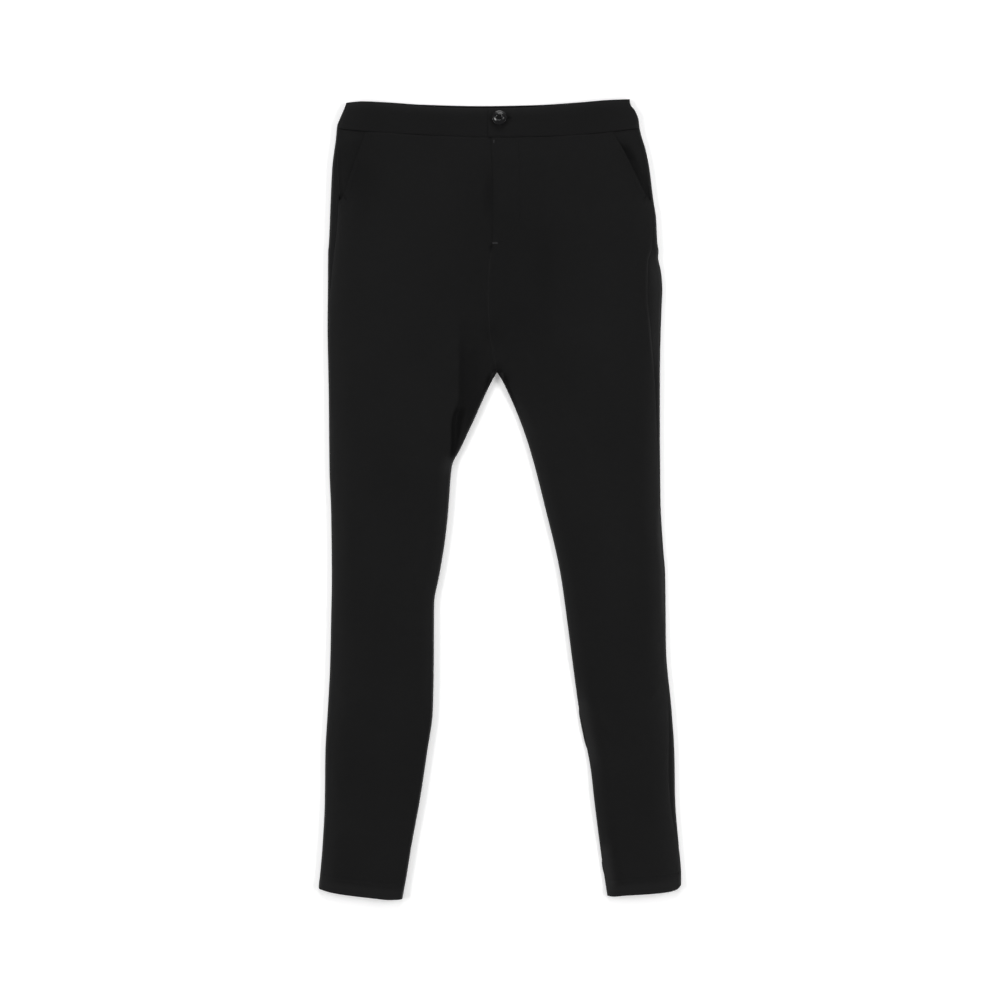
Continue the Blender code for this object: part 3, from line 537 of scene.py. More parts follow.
# %% Rows, and how they follow the band and the hem
TOP_ROW, TOP_SHIFT_END, HEM_SHIFT_START = 48.0, 110.0, 900.0
PAST_MOUTH, HEM_ROWS = 1.6, (974.0, 994.0)
STATIONS = np.concatenate([
    np.linspace(TOP_ROW, MOUTH_END_DROP, 24),
    np.linspace(MOUTH_END_DROP + PAST_MOUTH, HEM_ROWS[0] - 2.0, 222),
    np.linspace(*HEM_ROWS, 16), [995.5, 997.0, 998.2, 999.2, LENGTH],
])
BAND_SEAM_GAP = 0.12
SETTLING_ROUNDS = 5


def row_drop(leg, station, x, band_seam):
    """Where a row lies at this x: its station, shifted with the band's seam or the hem."""
    top = np.clip((TOP_SHIFT_END - station) / (TOP_SHIFT_END - TOP_ROW), 0.0, 1.0)
    hem = np.clip((station - HEM_SHIFT_START) / (LENGTH - HEM_SHIFT_START), 0.0, 1.0)
    seam_shift = band_seam(x) + BAND_SEAM_GAP / 2.0 - TOP_ROW
    return station + (top * seam_shift + hem * (leg.hem(x) - LENGTH))


def settle(follow, drop):
    """Follows the drop round a few times, until it and its x agree."""
    for _ in range(SETTLING_ROUNDS):
        drop = follow(drop)
    return drop


def settled_row(leg, station, inset_at, band_seam=front_band_seam):
    """The drop of a row's points, whose insets inset_at(drop) gives."""
    def follow(drop):
        return row_drop(leg, station, leg.x_at(inset_at(drop), drop), band_seam)

    return settle(follow, station)


# %% The hem's turn-up, and the dip beside a seam
HEM_THICKENS = 972.0, 979.0
HEM_STEP, HEM_STEP_AT = 0.25, (HEM_TURN_UP - 2.5, HEM_TURN_UP + 1.5)
HEM_CURL, HEM_CURL_REACH, HEM_ROW_HALF = 1.1, 14.0, 1.3
SEAM_DIP, SEAM_DIP_REACH = 0.28, 2.6


def hem_thin(column, drop):
    """The share of the hem's thickness that the cloth has at each drop."""
    return mix(CLOTH / HEM_CLOTH, 1.0, smooth(*HEM_THICKENS, drop))


def at_hem_row(from_hem):
    """1 at the row of stitches that holds the turn-up, and 0 away from it."""
    return np.exp(-((from_hem - HEM_TURN_UP) / HEM_ROW_HALF) ** 2)


def hem_rise(from_hem):
    """The turn-up is thicker, so the cloth rises a little towards the hem."""
    turned_up = HEM_STEP * (1.0 - smooth(*HEM_STEP_AT, from_hem))
    curl = HEM_CURL * np.clip(1.0 - from_hem / HEM_CURL_REACH, 0.0, 1.0)
    return turned_up - HEM_STEP * at_hem_row(from_hem) + curl


def near_seam(distance):
    """Cloth dips a little beside a seam."""
    return -SEAM_DIP * np.exp(-np.maximum(distance, 0.0) / SEAM_DIP_REACH)


# %% [markdown]
# ## Front panels
# A front runs from the side seam, which has rolled a little on to the front, to the fly
# and the centre seam, and below the crotch round the inner edge. Beside the pocket it is
# cut on a slant, and that edge stands a little open. Above the crotch the left front laps
# over the right one at the fly, so one rises and the other dips.

# %% Columns of a panel
EDGE_COLUMNS, WIDE_COLUMNS, FOLD_COLUMNS, NARROW_COLUMNS = 12, 24, 21, 9
FRONT_COUNT = 2 * EDGE_COLUMNS + WIDE_COLUMNS + FOLD_COLUMNS + NARROW_COLUMNS
# How much cloth the edge columns span, and how far from the fold its columns reach.
FLAT_EDGE, FOLD_HALF = 18.0, 6.5
# The left leg has no fold; its middle columns stand between these shares of the way.
LEFT_MIDDLE = 0.52, 0.80
INNER_EDGE_TURNS = CROTCH_DROP - 6.0, CROTCH_DROP + 8.5
print("columns and rows of a front:", FRONT_COUNT, len(STATIONS))


def edge_share(k):
    """Columns stand closer together towards an edge."""
    t = np.minimum(k, EDGE_COLUMNS - 1) / (EDGE_COLUMNS - 1.0)
    return 0.35 * t + 0.65 * t * t


def round_inner_edge(station, t, top):
    """A flat seam above the crotch, and a rolled edge below it; top is 1, the underside -1."""
    turn = smooth(*INNER_EDGE_TURNS, station)
    start = mix(LEG_QUARTER, SEAM_GAP / 2.0, turn)
    edge_inset = rolled(top * start, LEG_HEIGHT)[0]
    inset, level, up = rolled(top * mix(start, LEG_QUARTER, t), LEG_HEIGHT)
    return inset - edge_inset + FLAT_EDGE * t * (1.0 - turn), level, up


def fold_share(leg, k):
    """Columns of the right leg stand closer together at the middle of its fold."""
    t = (k - WIDE_COLUMNS) / FOLD_COLUMNS
    if leg is LEFT:
        return t
    from_middle = 2.0 * t - 1.0
    return 0.5 + 0.5 * np.sign(from_middle) * np.abs(from_middle) ** 1.7


def choose(*choices, otherwise):
    """Inset, height and up share from the first (where, values) that holds, or otherwise."""
    for where, values in reversed(choices):
        otherwise = [np.where(where, a, b) for a, b in zip(values, otherwise)]
    return otherwise


def at_mouth(station):
    return station <= MOUTH_END_DROP + 0.01


# %% Surface of a front
def front_surface(leg, column, drop, station):
    """Inset, height and up share of a front's outer skin, and the leg's width."""
    width = np.abs(leg.inner(drop) - leg.outer(drop))
    under = FLY_UNDERLAP * (1 - smooth(FLY_END_DROP - 14, FLY_END_DROP - 4, station))
    reach = width + under if leg is RIGHT else width

    def outer(t):
        roll = leg.roll(drop)
        along = roll + SEAM_GAP / 2.0 + (LEG_QUARTER + 1.3 * np.minimum(roll, LEG_QUARTER)) * t
        flat = leg.mouth(drop) + FLAT_EDGE * t, LEG_HEIGHT, 1.0
        return choose((at_mouth(station), flat), otherwise=rolled(along, LEG_HEIGHT))

    def inner(t):
        inset, level, up = round_inner_edge(station, t, 1.0)
        return reach - inset, level, up

    from_end = FRONT_COUNT - 1 - column
    start, end = outer(1.0)[0], inner(1.0)[0]
    if leg is RIGHT:
        before, after = fold_inset(drop) - FOLD_HALF, fold_inset(drop) + FOLD_HALF
        after = np.minimum(after, end - 1.0)
    else:
        before, after = [mix(start, end, share) for share in LEFT_MIDDLE]
    k = column - EDGE_COLUMNS + 1
    in_narrow = (k - WIDE_COLUMNS - FOLD_COLUMNS) / (NARROW_COLUMNS + 1.0)
    middle = np.where(
        k < WIDE_COLUMNS, mix(start, before, k / WIDE_COLUMNS),
        np.where(k < WIDE_COLUMNS + FOLD_COLUMNS, mix(before, after, fold_share(leg, k)),
                 mix(after, end, in_narrow)))
    inset, level, up = choose(
        (column < EDGE_COLUMNS, outer(edge_share(column))),
        (from_end < EDGE_COLUMNS, inner(edge_share(from_end))),
        otherwise=(middle, LEG_HEIGHT, 1.0))
    return inset, level, up, width


# %% What lifts a front
MOUTH_RISE, LEFT_GAPE, RIGHT_GAPE, GAPE_REACH = 0.15, 1.0, 0.1, 17.0
GAPE = line([(48, 0.0), (57, 0.12), (66, 0.95), (78, 1.0), (95, 0.75), (113, 0.35), (126, 0.0)])
LAP_REACH, UNDERLAP_REACH = (8.0, 34.0), (0.0, 6.0)


def front_lift(leg, inset, width, drop, station):
    """What is added to a front's height: crown, laps, mouth, fold, seams and hem."""
    x = leg.x_at(inset, drop)
    lift = leg.crown(np.minimum(inset, width), drop) + creases(FRONT_CREASES, x, drop)
    lapped = 1.0 - smooth(FLY_END_DROP, FLY_END_DROP + 16.0, station)
    beside = 1.0 - smooth(*LAP_REACH, width - inset)
    if leg is LEFT:
        lift += lapped * beside * FLY_RISE
    else:
        lift -= lapped * (FLY_DIP * beside + FLY_UNDER_DIP * smooth(*UNDERLAP_REACH, inset - width))
    gape = MOUTH_RISE + (LEFT_GAPE if leg is LEFT else RIGHT_GAPE) * GAPE(station)
    lift += gape * (at_mouth(station) * (1.0 - smooth(0.0, GAPE_REACH, inset - leg.mouth(drop))))
    if leg is RIGHT:
        lift += fold_lift(inset, drop)
    seam_start = smooth(FLY_END_DROP, FLY_END_DROP + 10, station)
    seam_end = smooth(CROTCH_DROP - 10, CROTCH_DROP, station)
    lift += near_seam(width - inset) * (seam_start * (1 - seam_end))
    below_mouth = smooth(MOUTH_END_DROP, MOUTH_END_DROP + 6.0, station)
    lift += near_seam(np.abs(inset - side_seam(leg, drop))) * below_mouth
    lift += hem_rise(leg.hem(x) - drop)
    return lift


# %% The two fronts
PRESSED_REACH, FRONT_BEVEL = 9.0, 0.12
# Painted light on the strip above the hem, and how far up it reaches.
HEM_LIGHT, HEM_LIT = 0.09, (9.0, 17.0)


def front_panel(leg, name):
    def thin(column, drop):
        """The cut edges at the mouth and the fly are pressed thin."""
        mouth = smooth(0.0, PRESSED_REACH, FLAT_EDGE * edge_share(column))
        pressed_and_painted_light = np.maximum(mouth, smooth(MOUTH_END_DROP - 1.0, MOUTH_END_DROP, drop))
        if leg is LEFT:
            fly = smooth(0.0, PRESSED_REACH, FLAT_EDGE * edge_share(FRONT_COUNT - 1 - column))
            pressed_and_painted_light *= np.maximum(fly, smooth(FLY_END_DROP + 4.0, FLY_END_DROP + 14.0, drop))
        return mix(EDGE_CLOTH / HEM_CLOTH, hem_thin(column, drop), pressed_and_painted_light)

    # Painted shade above zero, less painted light along the edges and the hem.
    def shade(column, row, drop):
        inset, _, _, width = front_surface(leg, column, drop, STATIONS[row])
        x = leg.x_at(inset, drop)
        fold = fold_shade(inset, drop) if leg is RIGHT else 0.0
        deeper = np.maximum(fold, shaded(leg, x, width - inset, drop))
        hem = HEM_LIGHT * (1.0 - smooth(*HEM_LIT, leg.hem(x) - drop))
        lighter = np.maximum(hem, edge_light(leg, inset, width - inset, drop))
        return np.clip(deeper, 0.0, DEEPEST) - lighter

    def place(column, row):
        station = STATIONS[row]
        drop = settled_row(leg, station, lambda drop: front_surface(leg, column, drop, station)[0])
        inset, level, up, width = front_surface(leg, column, drop, station)
        x = leg.x_at(inset, drop)
        return x, drop, level + np.maximum(up, 0.0) * front_lift(leg, inset, width, drop, station), x

    return cloth_grid(name, FRONT_COUNT, len(STATIONS), place, HEM_CLOTH, FRONT_BEVEL, leg is LEFT,
                      thin, shade)


front_right = front_panel(RIGHT, "cloth_front_right")
front_left = front_panel(LEFT, "cloth_front_left")

# %% [markdown]
# ## Back panels
# A back starts at the side seam on top, turns over the outer edge and runs under the leg
# to the centre seam or round the inner edge. It rests on the table, so it stays at zero
# but for the hollows of its creases.

# %% Surface of a back
ROLL_COLUMNS, UNDER_COLUMNS = 16, 34
BACK_COUNT = ROLL_COLUMNS + UNDER_COLUMNS + EDGE_COLUMNS
# How far past the turn, on the underside, the rolled columns reach.
ROLLED_UNDER = 2.0


def back_surface(leg, column, drop, station):
    """Inset, height and up share of a back's outer skin, and the back's width."""
    aside = BACK_SEAM_ASIDE * (1.0 - smooth(CROTCH_DROP - 60.0, CROTCH_DROP - 8.0, drop))
    width = np.abs(leg.inner(drop) + aside - leg.outer(drop))
    from_end = BACK_COUNT - 1 - column
    start = leg.roll(drop) - SEAM_GAP / 2.0
    roll_t = np.minimum(column, ROLL_COLUMNS - 1) / (ROLL_COLUMNS - 1.0)
    inset, level, up = round_inner_edge(station, edge_share(from_end), -1.0)
    first = rolled(-LEG_QUARTER - ROLLED_UNDER, LEG_HEIGHT)[0]
    last = width - round_inner_edge(station, 1.0, -1.0)[0]
    under = mix(first, last, (column - ROLL_COLUMNS + 1) / (UNDER_COLUMNS + 1.0))
    inset, level, up = choose(
        (column < ROLL_COLUMNS, rolled(mix(start, -LEG_QUARTER - ROLLED_UNDER, roll_t), LEG_HEIGHT)),
        (from_end < EDGE_COLUMNS, (width - inset, level, up)),
        otherwise=(under, 0.0, -1.0))
    return inset, level, up, width


# %% What lifts a back
CREASE_EDGE, SEAM_ALLOWANCE, HEM_ROW_HOLLOW = 12.0, 12.0, 0.3


def back_lift(leg, inset, up, width, drop, station):
    """On top a back follows the front's form, and underneath only its hollows rise."""
    x = leg.x_at(inset, drop)
    from_inner, from_hem = width - inset, leg.hem(x) - drop
    top = leg.crown(inset, drop) + creases(FRONT_CREASES, x, drop)
    top += near_seam(np.abs(inset - side_seam(leg, drop)))
    away = smooth(0.0, CREASE_EDGE, inset)
    away *= smooth(0.0, CREASE_EDGE, from_inner + CREASE_EDGE * (drop < CROTCH_DROP))
    below = np.maximum(creases(BACK_CREASES, x, drop), 0.0) * away
    seamed = (1 - smooth(CROTCH_DROP - 10, CROTCH_DROP, station)) * (from_inner < SEAM_ALLOWANCE)
    below += -near_seam(from_inner) * seamed - near_seam(drop - back_band_seam(x))
    below += HEM_ROW_HOLLOW * at_hem_row(from_hem)
    return np.maximum(up, 0.0) * (top + hem_rise(from_hem)) + np.maximum(-up, 0.0) * below


# %% The two backs
BACK_BEVEL, LIT_TURN = 0.4, (-0.6, 0.2)


def back_panel(leg, name):
    def place(column, row):
        station = STATIONS[row]

        def inset_at(drop):
            return back_surface(leg, column, drop, station)[0]

        on_top = back_surface(leg, column, station, station)[2] > 0.0
        drop = np.where(on_top, settled_row(leg, station, inset_at),
                        settled_row(leg, station, inset_at, back_band_seam))
        inset, level, up, width = back_surface(leg, column, drop, station)
        height = level + back_lift(leg, inset, up, width, drop, station)
        return (leg.x_at(inset, drop), drop, height,
                leg.outer(drop) + leg.side * np.where(up > 0, inset, -inset))

    # The crotch tip's painted shade, less painted light where the back turns up on to the top.
    def shade(column, row, drop):
        inset, _, up, width = back_surface(leg, column, drop, STATIONS[row])
        lighter = edge_light(leg, inset, width - inset, drop) * smooth(*LIT_TURN, up)
        return tip_shade(leg, width - inset, drop) - lighter

    return cloth_grid(name, BACK_COUNT, len(STATIONS), place, HEM_CLOTH, BACK_BEVEL, leg is RIGHT,
                      hem_thin, shade)


back_right = back_panel(RIGHT, "cloth_back_right")
back_left = back_panel(LEFT, "cloth_back_left")

# %% [markdown]
# ## Pocket facings
# Behind each slanted mouth lies a facing of the same cloth, sewn into the side seam. It
# fills the corner that is cut from the front and passes a centimetre under its edge.

# %% Pocket facings
FACING_STATIONS, FACING_COLUMNS = np.linspace(TOP_ROW, 132.0, 30), 16
FACING_BEVEL, FACING_SLACK = 0.2, 0.3
# How much deeper the left facing dips where its mouth stands open.
GAPE_DIP = 0.35
# Painted shade on the facing beside the mouth's edge: this far in from it, and this deep by drop.
MOUTH_SHADE_REACH = {-1: (-34.0, -20.0), 1: (-14.0, -5.0)}
MOUTH_SHADE = {
    -1: line([(48, 0.0), (60, 0.1), (112, 0.12), (120, 0.2), (126, 0.4), (132, 0.4)]),
    1: line([(48, 0.0), (55, 0.1), (63, 0.4), (72, 0.4), (82, 0.26), (118, 0.26), (132, 0.12)]),
}


def facing(leg, name):
    def inset_at(column, drop):
        start = rolled(leg.roll(drop) + SEAM_GAP / 2.0, LEG_HEIGHT)[0]
        return mix(start, leg.mouth(drop) + FACING_UNDERLAP, column / (FACING_COLUMNS - 1.0))

    def place(column, row):
        station = FACING_STATIONS[row]
        drop = settled_row(leg, station, lambda drop: inset_at(column, drop))
        inset = inset_at(column, drop)
        from_seam, from_mouth = inset - side_seam(leg, drop), inset - leg.mouth(drop)
        dip = FACING_DIP * smooth(0.0, 4.0, from_seam) + FACING_UNDER_DIP * smooth(0.0, 8.0, from_mouth)
        if leg is LEFT:
            dip += GAPE_DIP * GAPE(drop) * smooth(-14.0, -4.0, from_mouth)
        past_end = smooth(MOUTH_END_DROP - 7.0, MOUTH_END_DROP + 0.5, drop)
        dip = mix(dip, CLOTH + FACING_SLACK, past_end)
        along = leg.roll(drop) + inset - side_seam(leg, drop)
        level = np.minimum(rolled(along, LEG_HEIGHT)[1], LEG_HEIGHT)
        x = leg.x_at(inset, drop)
        return x, drop, level - dip + leg.crown(inset, drop) + near_seam(from_seam), x

    # Painted shade beside the mouth's edge.
    def shade(column, row, drop):
        from_mouth = inset_at(column, drop) - leg.mouth(drop)
        return MOUTH_SHADE[leg.side](drop) * smooth(*MOUTH_SHADE_REACH[leg.side], from_mouth)

    return cloth_grid(name, FACING_COLUMNS, len(FACING_STATIONS), place, CLOTH, FACING_BEVEL,
                      leg is LEFT, shade=shade)


facing_right = facing(RIGHT, "cloth_facing_right")
facing_left = facing(LEFT, "cloth_facing_left")

# %% [markdown]
# ## Waistband
# The band is cloth folded over a stiffer inner layer, so it is thicker, its top is a
# rounded fold and it lies smoother than the panels. The back piece turns over both edges to
# meet the front pieces at the side seams. The left front end laps over the right one.

# %% Rows and waves of the band
BAND_ROWS, FRONT_BAND_COLUMNS, BACK_BAND_COLUMNS = 22, 90, 140
# The last column of the turned edge, of the front pieces and of the back one.
FRONT_TURNED, BACK_TURNED = 9, 15
# How far past the turn, on top, the front pieces' turned columns reach.
TURNED_TOP = 3.0
RIM_CURL, RIM_REACH = 1.5, 13.0
BAND_WAVE = line([
    (-200, 0.0), (-170, 0.25), (-140, -0.2), (-100, 0.2), (-60, -0.1), (-30, 0.0), (30, 0.0),
    (60, 0.22), (90, -0.18), (130, 0.26), (160, -0.05), (180, 0.0),
])


def band_share(row):
    """Rows stand closer together at the band's fold."""
    t = row / (BAND_ROWS - 1.0)
    return 0.45 * t + 0.55 * t * t


def band_curl(drop, rim):
    """The band's top edge curls down, where the cloth is folded."""
    return -RIM_CURL * np.clip(1.0 - (drop - rim) / RIM_REACH, 0.0, 1.0) ** 2


def band_drop(rim, seam, share):
    """Where a row of the band lies, between its rim and its seam."""
    return mix(rim, seam - BAND_SEAM_GAP / 2.0, share)


# %% Front pieces of the band
UNDER_DIPS, UNDER_DIPS_MORE, OVER_RISES = (28.0, 50.0), (16.0, 26.5), (24.0, 50.0)
WAVE_REACH, TIP_PRESSED, FRONT_BAND_BEVEL = 40.0, (2.0, 16.0), 0.1


def front_band(leg, name):
    end_x = BAND_UNDER_X if leg is RIGHT else BAND_OVER_X

    def surface(column, drop):
        """Inset, height and up share of a front piece's outer skin, and its length."""
        length = np.abs(end_x - leg.outer(drop))
        start = leg.roll(drop) + SEAM_GAP / 2.0
        k = np.minimum(column, FRONT_TURNED) / FRONT_TURNED
        turned = rolled(start + k * (BAND_QUARTER + TURNED_TOP), BAND_HEIGHT)
        last = rolled(start + BAND_QUARTER + TURNED_TOP, BAND_HEIGHT)[0]
        t = np.maximum(column - FRONT_TURNED, 0) / (FRONT_BAND_COLUMNS - 1 - FRONT_TURNED)
        flat = mix(last, length, t), BAND_HEIGHT, 1.0
        return (*choose((column > FRONT_TURNED, flat), otherwise=turned), length)

    def place(column, row):
        share = band_share(row)

        def follow(drop):
            x = leg.x_at(surface(column, drop)[0], drop)
            return band_drop(front_rim(x), front_band_seam(x), share)

        drop = settle(follow, TOP_ROW * share)
        inset, level, up, length = surface(column, drop)
        x, from_tip = leg.x_at(inset, drop), length - inset
        lift = leg.crown(inset, drop)
        if leg is RIGHT:
            dip = BAND_DIP * (1.0 - smooth(*UNDER_DIPS, from_tip))
            lift -= dip + BAND_UNDER_DIP * (1.0 - smooth(*UNDER_DIPS_MORE, from_tip))
        else:
            lift += BAND_RISE * (1.0 - smooth(*OVER_RISES, from_tip))
        lift += band_curl(drop, front_rim(x))
        from_seam = np.abs(inset - side_seam(leg, drop, BAND_HEIGHT))
        lift += near_seam(from_seam) + BAND_WAVE(x) * smooth(0.0, WAVE_REACH, from_tip)
        return x, drop, level + np.maximum(up, 0.0) * lift, x

    def thin(column, drop):
        """The end that laps over the other piece is pressed thin."""
        length = np.abs(end_x - leg.outer(drop)) - 10.0
        from_tip = (FRONT_BAND_COLUMNS - 1 - column) * length / (FRONT_BAND_COLUMNS - 10.0)
        return mix(BAND_EDGE_CLOTH / BAND_CLOTH, 1.0, smooth(*TIP_PRESSED, from_tip))

    return cloth_grid(name, FRONT_BAND_COLUMNS, BAND_ROWS, place, BAND_CLOTH, FRONT_BAND_BEVEL,
                      leg is LEFT, thin if leg is LEFT else None)


# %% Back piece of the band
BACK_BAND_BEVEL = 0.8


def back_band(name):
    def place(column, row):
        share = band_share(row)
        k = np.minimum(column, BACK_BAND_COLUMNS - 1 - column)
        right = column < BACK_BAND_COLUMNS / 2
        side = np.where(right, -1.0, 1.0)

        def of_leg(what, *places):
            return np.where(right, getattr(RIGHT, what)(*places), getattr(LEFT, what)(*places))

        def surface(drop):
            """Inset, height, up share and x of the back piece's outer skin."""
            start = of_leg("roll", drop) - SEAM_GAP / 2.0
            t = np.minimum(k, BACK_TURNED) / BACK_TURNED
            turned = rolled(mix(start, -BAND_QUARTER - ROLLED_UNDER, t), BAND_HEIGHT)
            middle = np.abs(RIGHT.outer(drop) - LEFT.outer(drop)) / 2.0
            last = rolled(-BAND_QUARTER - ROLLED_UNDER, BAND_HEIGHT)[0]
            t = (k - BACK_TURNED) / (BACK_BAND_COLUMNS / 2.0 - 0.5 - BACK_TURNED)
            flat = mix(last, middle, t), 0.0, -1.0
            inset, level, up = choose((k > BACK_TURNED, flat), otherwise=turned)
            return inset, level, up, of_leg("outer", drop) - side * inset

        def follow(drop):
            inset, level, up, x = surface(drop)
            rim = np.where(up > 0, front_rim(x), back_rim(x))
            return band_drop(rim, np.where(up > 0, front_band_seam(x), back_band_seam(x)), share)

        drop = settle(follow, TOP_ROW * share)
        inset, level, up, x = surface(drop)
        seam_at = rolled(of_leg("roll", drop), BAND_HEIGHT)[0]
        top = of_leg("crown", inset, drop) + band_curl(drop, front_rim(x))
        top += near_seam(np.abs(inset - seam_at))
        top += near_seam(front_band_seam(x) - drop)
        below = -0.5 * band_curl(drop, back_rim(x)) - near_seam(back_band_seam(x) - drop)
        lift = np.maximum(up, 0.0) * top + np.maximum(-up, 0.0) * below
        across = of_leg("outer", drop) + side * np.where(up > 0, inset, -inset)
        return x, drop, level + lift, across

    return cloth_grid(name, BACK_BAND_COLUMNS, BAND_ROWS, place, BAND_CLOTH, BACK_BAND_BEVEL, True)


band_right = front_band(RIGHT, "cloth_waistband_front_right")
band_left = front_band(LEFT, "cloth_waistband_front_left")
band_back = back_band("cloth_waistband_back")

# %% [markdown]
# ## Button
# A trouser button with four holes is turned from plastic: a flat disc with a raised, round
# rim and a dished middle. A cylinder is added at its size, its top face is inset and
# raised or lowered step by step, and the rims are bevelled. The holes are cut with four small
# cylinders, each applied as it is made. It sits on a shank of thread, so it stands off the
# band and leans a little.

# %% Button
HOLE_RADIUS, HOLE_OFFSET, HOLE_TURNS = 0.95, 1.9, (45.0, 135.0, 225.0, 315.0)
BUTTON_FLANGE, BUTTON_STAND = 1.7, 1.3
# Each step towards the middle of the button's face: how far in, and how far up.
BUTTON_STEPS = [(2.4, 0.35), (1.0, 0.5), (1.0, 0.62), (0.6, 0.1), (0.5, -0.8)]
BUTTON_BACK_STEPS = [(1.5, -0.4)]
BUTTON_TURNS = [("X", 8.0), ("Y", 4.0)]
RIM_BEVEL, RIM_ANGLE = 0.35, math.radians(12.0)


def surface_at(piece, x, drop, above=True):
    """The piece's surface under (or over) a place, and its normal, by a ray."""
    origin = Vector((x / 1000.0, (LENGTH / 2.0 - drop) / 1000.0, 0.05 if above else -0.05))
    hit, place, normal, _ = piece.ray_cast(origin, Vector((0, 0, -1 if above else 1)))
    return (place, normal) if hit else (None, None)


button_seat = surface_at(band_left, BUTTON_X, BUTTON_DROP)[0]
print("the band's surface under the button, mm:", round(button_seat.z * 1000.0, 2))


def select_faces(piece, chosen):
    """Selects the faces that chosen(centre, normal) picks, in edit mode, and no others."""
    bpy.ops.mesh.select_all(action="DESELECT")
    bpy.ops.object.mode_set(mode="OBJECT")
    for face in piece.data.polygons:
        face.select = bool(chosen(face.center, face.normal))
    bpy.ops.object.mode_set(mode="EDIT")


def step_face(piece, facing_way, steps):
    """Insets the face that looks up (1) or down (-1) and moves it, once for each step."""
    select_faces(piece, lambda centre, normal: normal.z * facing_way > 0.9)
    for inwards, up in steps:
        bpy.ops.mesh.inset(thickness=inwards / 1000.0)
        bpy.ops.transform.translate(value=(0, 0, up / 1000.0))


def drill_hole(piece, place):
    deselect()
    bpy.ops.mesh.primitive_cylinder_add(
        vertices=20, radius=HOLE_RADIUS / 1000.0, depth=0.012, location=place)
    drill = bpy.context.active_object
    bpy.context.view_layer.objects.active = piece
    cut = piece.modifiers.new("hole", "BOOLEAN")
    cut.operation, cut.object, cut.solver = "DIFFERENCE", drill, "EXACT"
    bpy.ops.object.modifier_apply(modifier="hole")
    bpy.data.objects.remove(drill, do_unlink=True)


def make_button():
    deselect()
    centre = button_seat + Vector((0, 0, (BUTTON_STAND + BUTTON_FLANGE / 2.0) / 1000.0))
    bpy.ops.mesh.primitive_cylinder_add(
        vertices=64, radius=BUTTON_RADIUS / 1000.0, depth=BUTTON_FLANGE / 1000.0, location=centre)
    button = bpy.context.active_object
    button.name = button.data.name = "sewn_button"
    bpy.ops.object.transform_apply(location=True, rotation=False, scale=False)
    bpy.ops.object.mode_set(mode="EDIT")
    bpy.ops.mesh.select_mode(type="FACE")
    step_face(button, 1, BUTTON_STEPS)
    step_face(button, -1, BUTTON_BACK_STEPS)
    bpy.ops.object.mode_set(mode="OBJECT")
    rim = button.modifiers.new("round rims", "BEVEL")
    rim.limit_method, rim.angle_limit = "ANGLE", RIM_ANGLE
    rim.width, rim.segments = RIM_BEVEL / 1000.0, 4
    bpy.ops.object.modifier_apply(modifier="round rims")
    for turn in HOLE_TURNS:
        way = Vector((math.cos(math.radians(turn)), math.sin(math.radians(turn)), 0))
        drill_hole(button, centre + way * HOLE_OFFSET / 1000.0)
    deselect()
    button.select_set(True)
    bpy.ops.object.mode_set(mode="EDIT")
    bpy.ops.mesh.select_all(action="SELECT")
    for axis, degrees in BUTTON_TURNS:
        bpy.ops.transform.rotate(value=math.radians(degrees), orient_axis=axis, center_override=centre)
    bpy.ops.object.mode_set(mode="OBJECT")
    bpy.ops.object.shade_smooth_by_angle(angle=math.radians(32.0))
    print("button faces:", len(button.data.polygons))
    return button


button = make_button()

# %% [markdown]
# ## Stitches
# A sewn line shows as a row of short thread loops, each of which sinks into the cloth at
# both ends. One stitch is modelled, a small sphere pulled long and flat, and its mesh is
# copied along each line: a ray down to the cloth gives every copy its place and its tilt.

# %% One stitch
STITCH_LENGTH, STITCH_PITCH, THREAD, THREAD_LIFT = 2.3, 2.9, 0.42, 0.07
deselect()
bpy.ops.mesh.primitive_uv_sphere_add(segments=6, ring_count=5, radius=0.5)
one_stitch = bpy.context.active_object
bpy.ops.object.mode_set(mode="EDIT")
bpy.ops.mesh.select_all(action="SELECT")
bpy.ops.transform.rotate(value=math.pi / 2.0, orient_axis="Y", center_override=(0, 0, 0))
bpy.ops.object.mode_set(mode="OBJECT")
STITCH_POINTS = np.array([vert.co[:] for vert in one_stitch.data.vertices])
STITCH_FACES = [list(face.vertices) for face in one_stitch.data.polygons]
bpy.data.objects.remove(one_stitch, do_unlink=True)
print("points of one stitch:", len(STITCH_POINTS))


# %% Rows of stitches
def walk(path, pitch):
    """Places at an even pitch along a path of (x, drop) points, with the way it runs."""
    path = np.array(path, float)
    steps = np.hypot(*np.diff(path, axis=0).T)
    so_far = np.concatenate([[0.0], np.cumsum(steps)])
    count = max(2, int(so_far[-1] / pitch))
    at = (np.arange(count) + 0.5) * so_far[-1] / count
    back, places, ahead = [
        np.stack([np.interp(at + way, so_far, path[:, i]) for i in (0, 1)], 1)
        for way in (-0.5, 0.0, 0.5)
    ]
    return places, ahead - back


def sew(name, piece, paths, above=True, length=STITCH_LENGTH, pitch=STITCH_PITCH, thread=THREAD):
    """Lays a stitch at every place along the paths, and joins them as one piece."""
    points, faces = [], []
    for path in paths:
        for (x, drop), (way_x, way_drop) in zip(*walk(path, pitch)):
            place, normal = surface_at(piece, x, drop, above)
            if place is None:
                continue
            along = Vector((way_x, -way_drop, 0.0))
            along = (along - normal * along.dot(normal)).normalized()
            aside = normal.cross(along)
            axes = np.array([along * length, aside * thread, normal * thread * 0.8]) / 1000.0
            start = len(points) * len(STITCH_POINTS)
            points.append(STITCH_POINTS @ axes + np.array(place + normal * (THREAD_LIFT / 1000.0)))
            faces.extend([start + i for i in face] for face in STITCH_FACES)
    mesh = bpy.data.meshes.new(name)
    mesh.from_pydata(np.concatenate(points).tolist(), [], faces)
    stitches = bpy.data.objects.new(name, mesh)
    bpy.context.scene.collection.objects.link(stitches)
    deselect()
    stitches.select_set(True)
    bpy.context.view_layer.objects.active = stitches
    bpy.ops.object.shade_smooth()
    print(name, "has", len(points), "stitches")
    return stitches


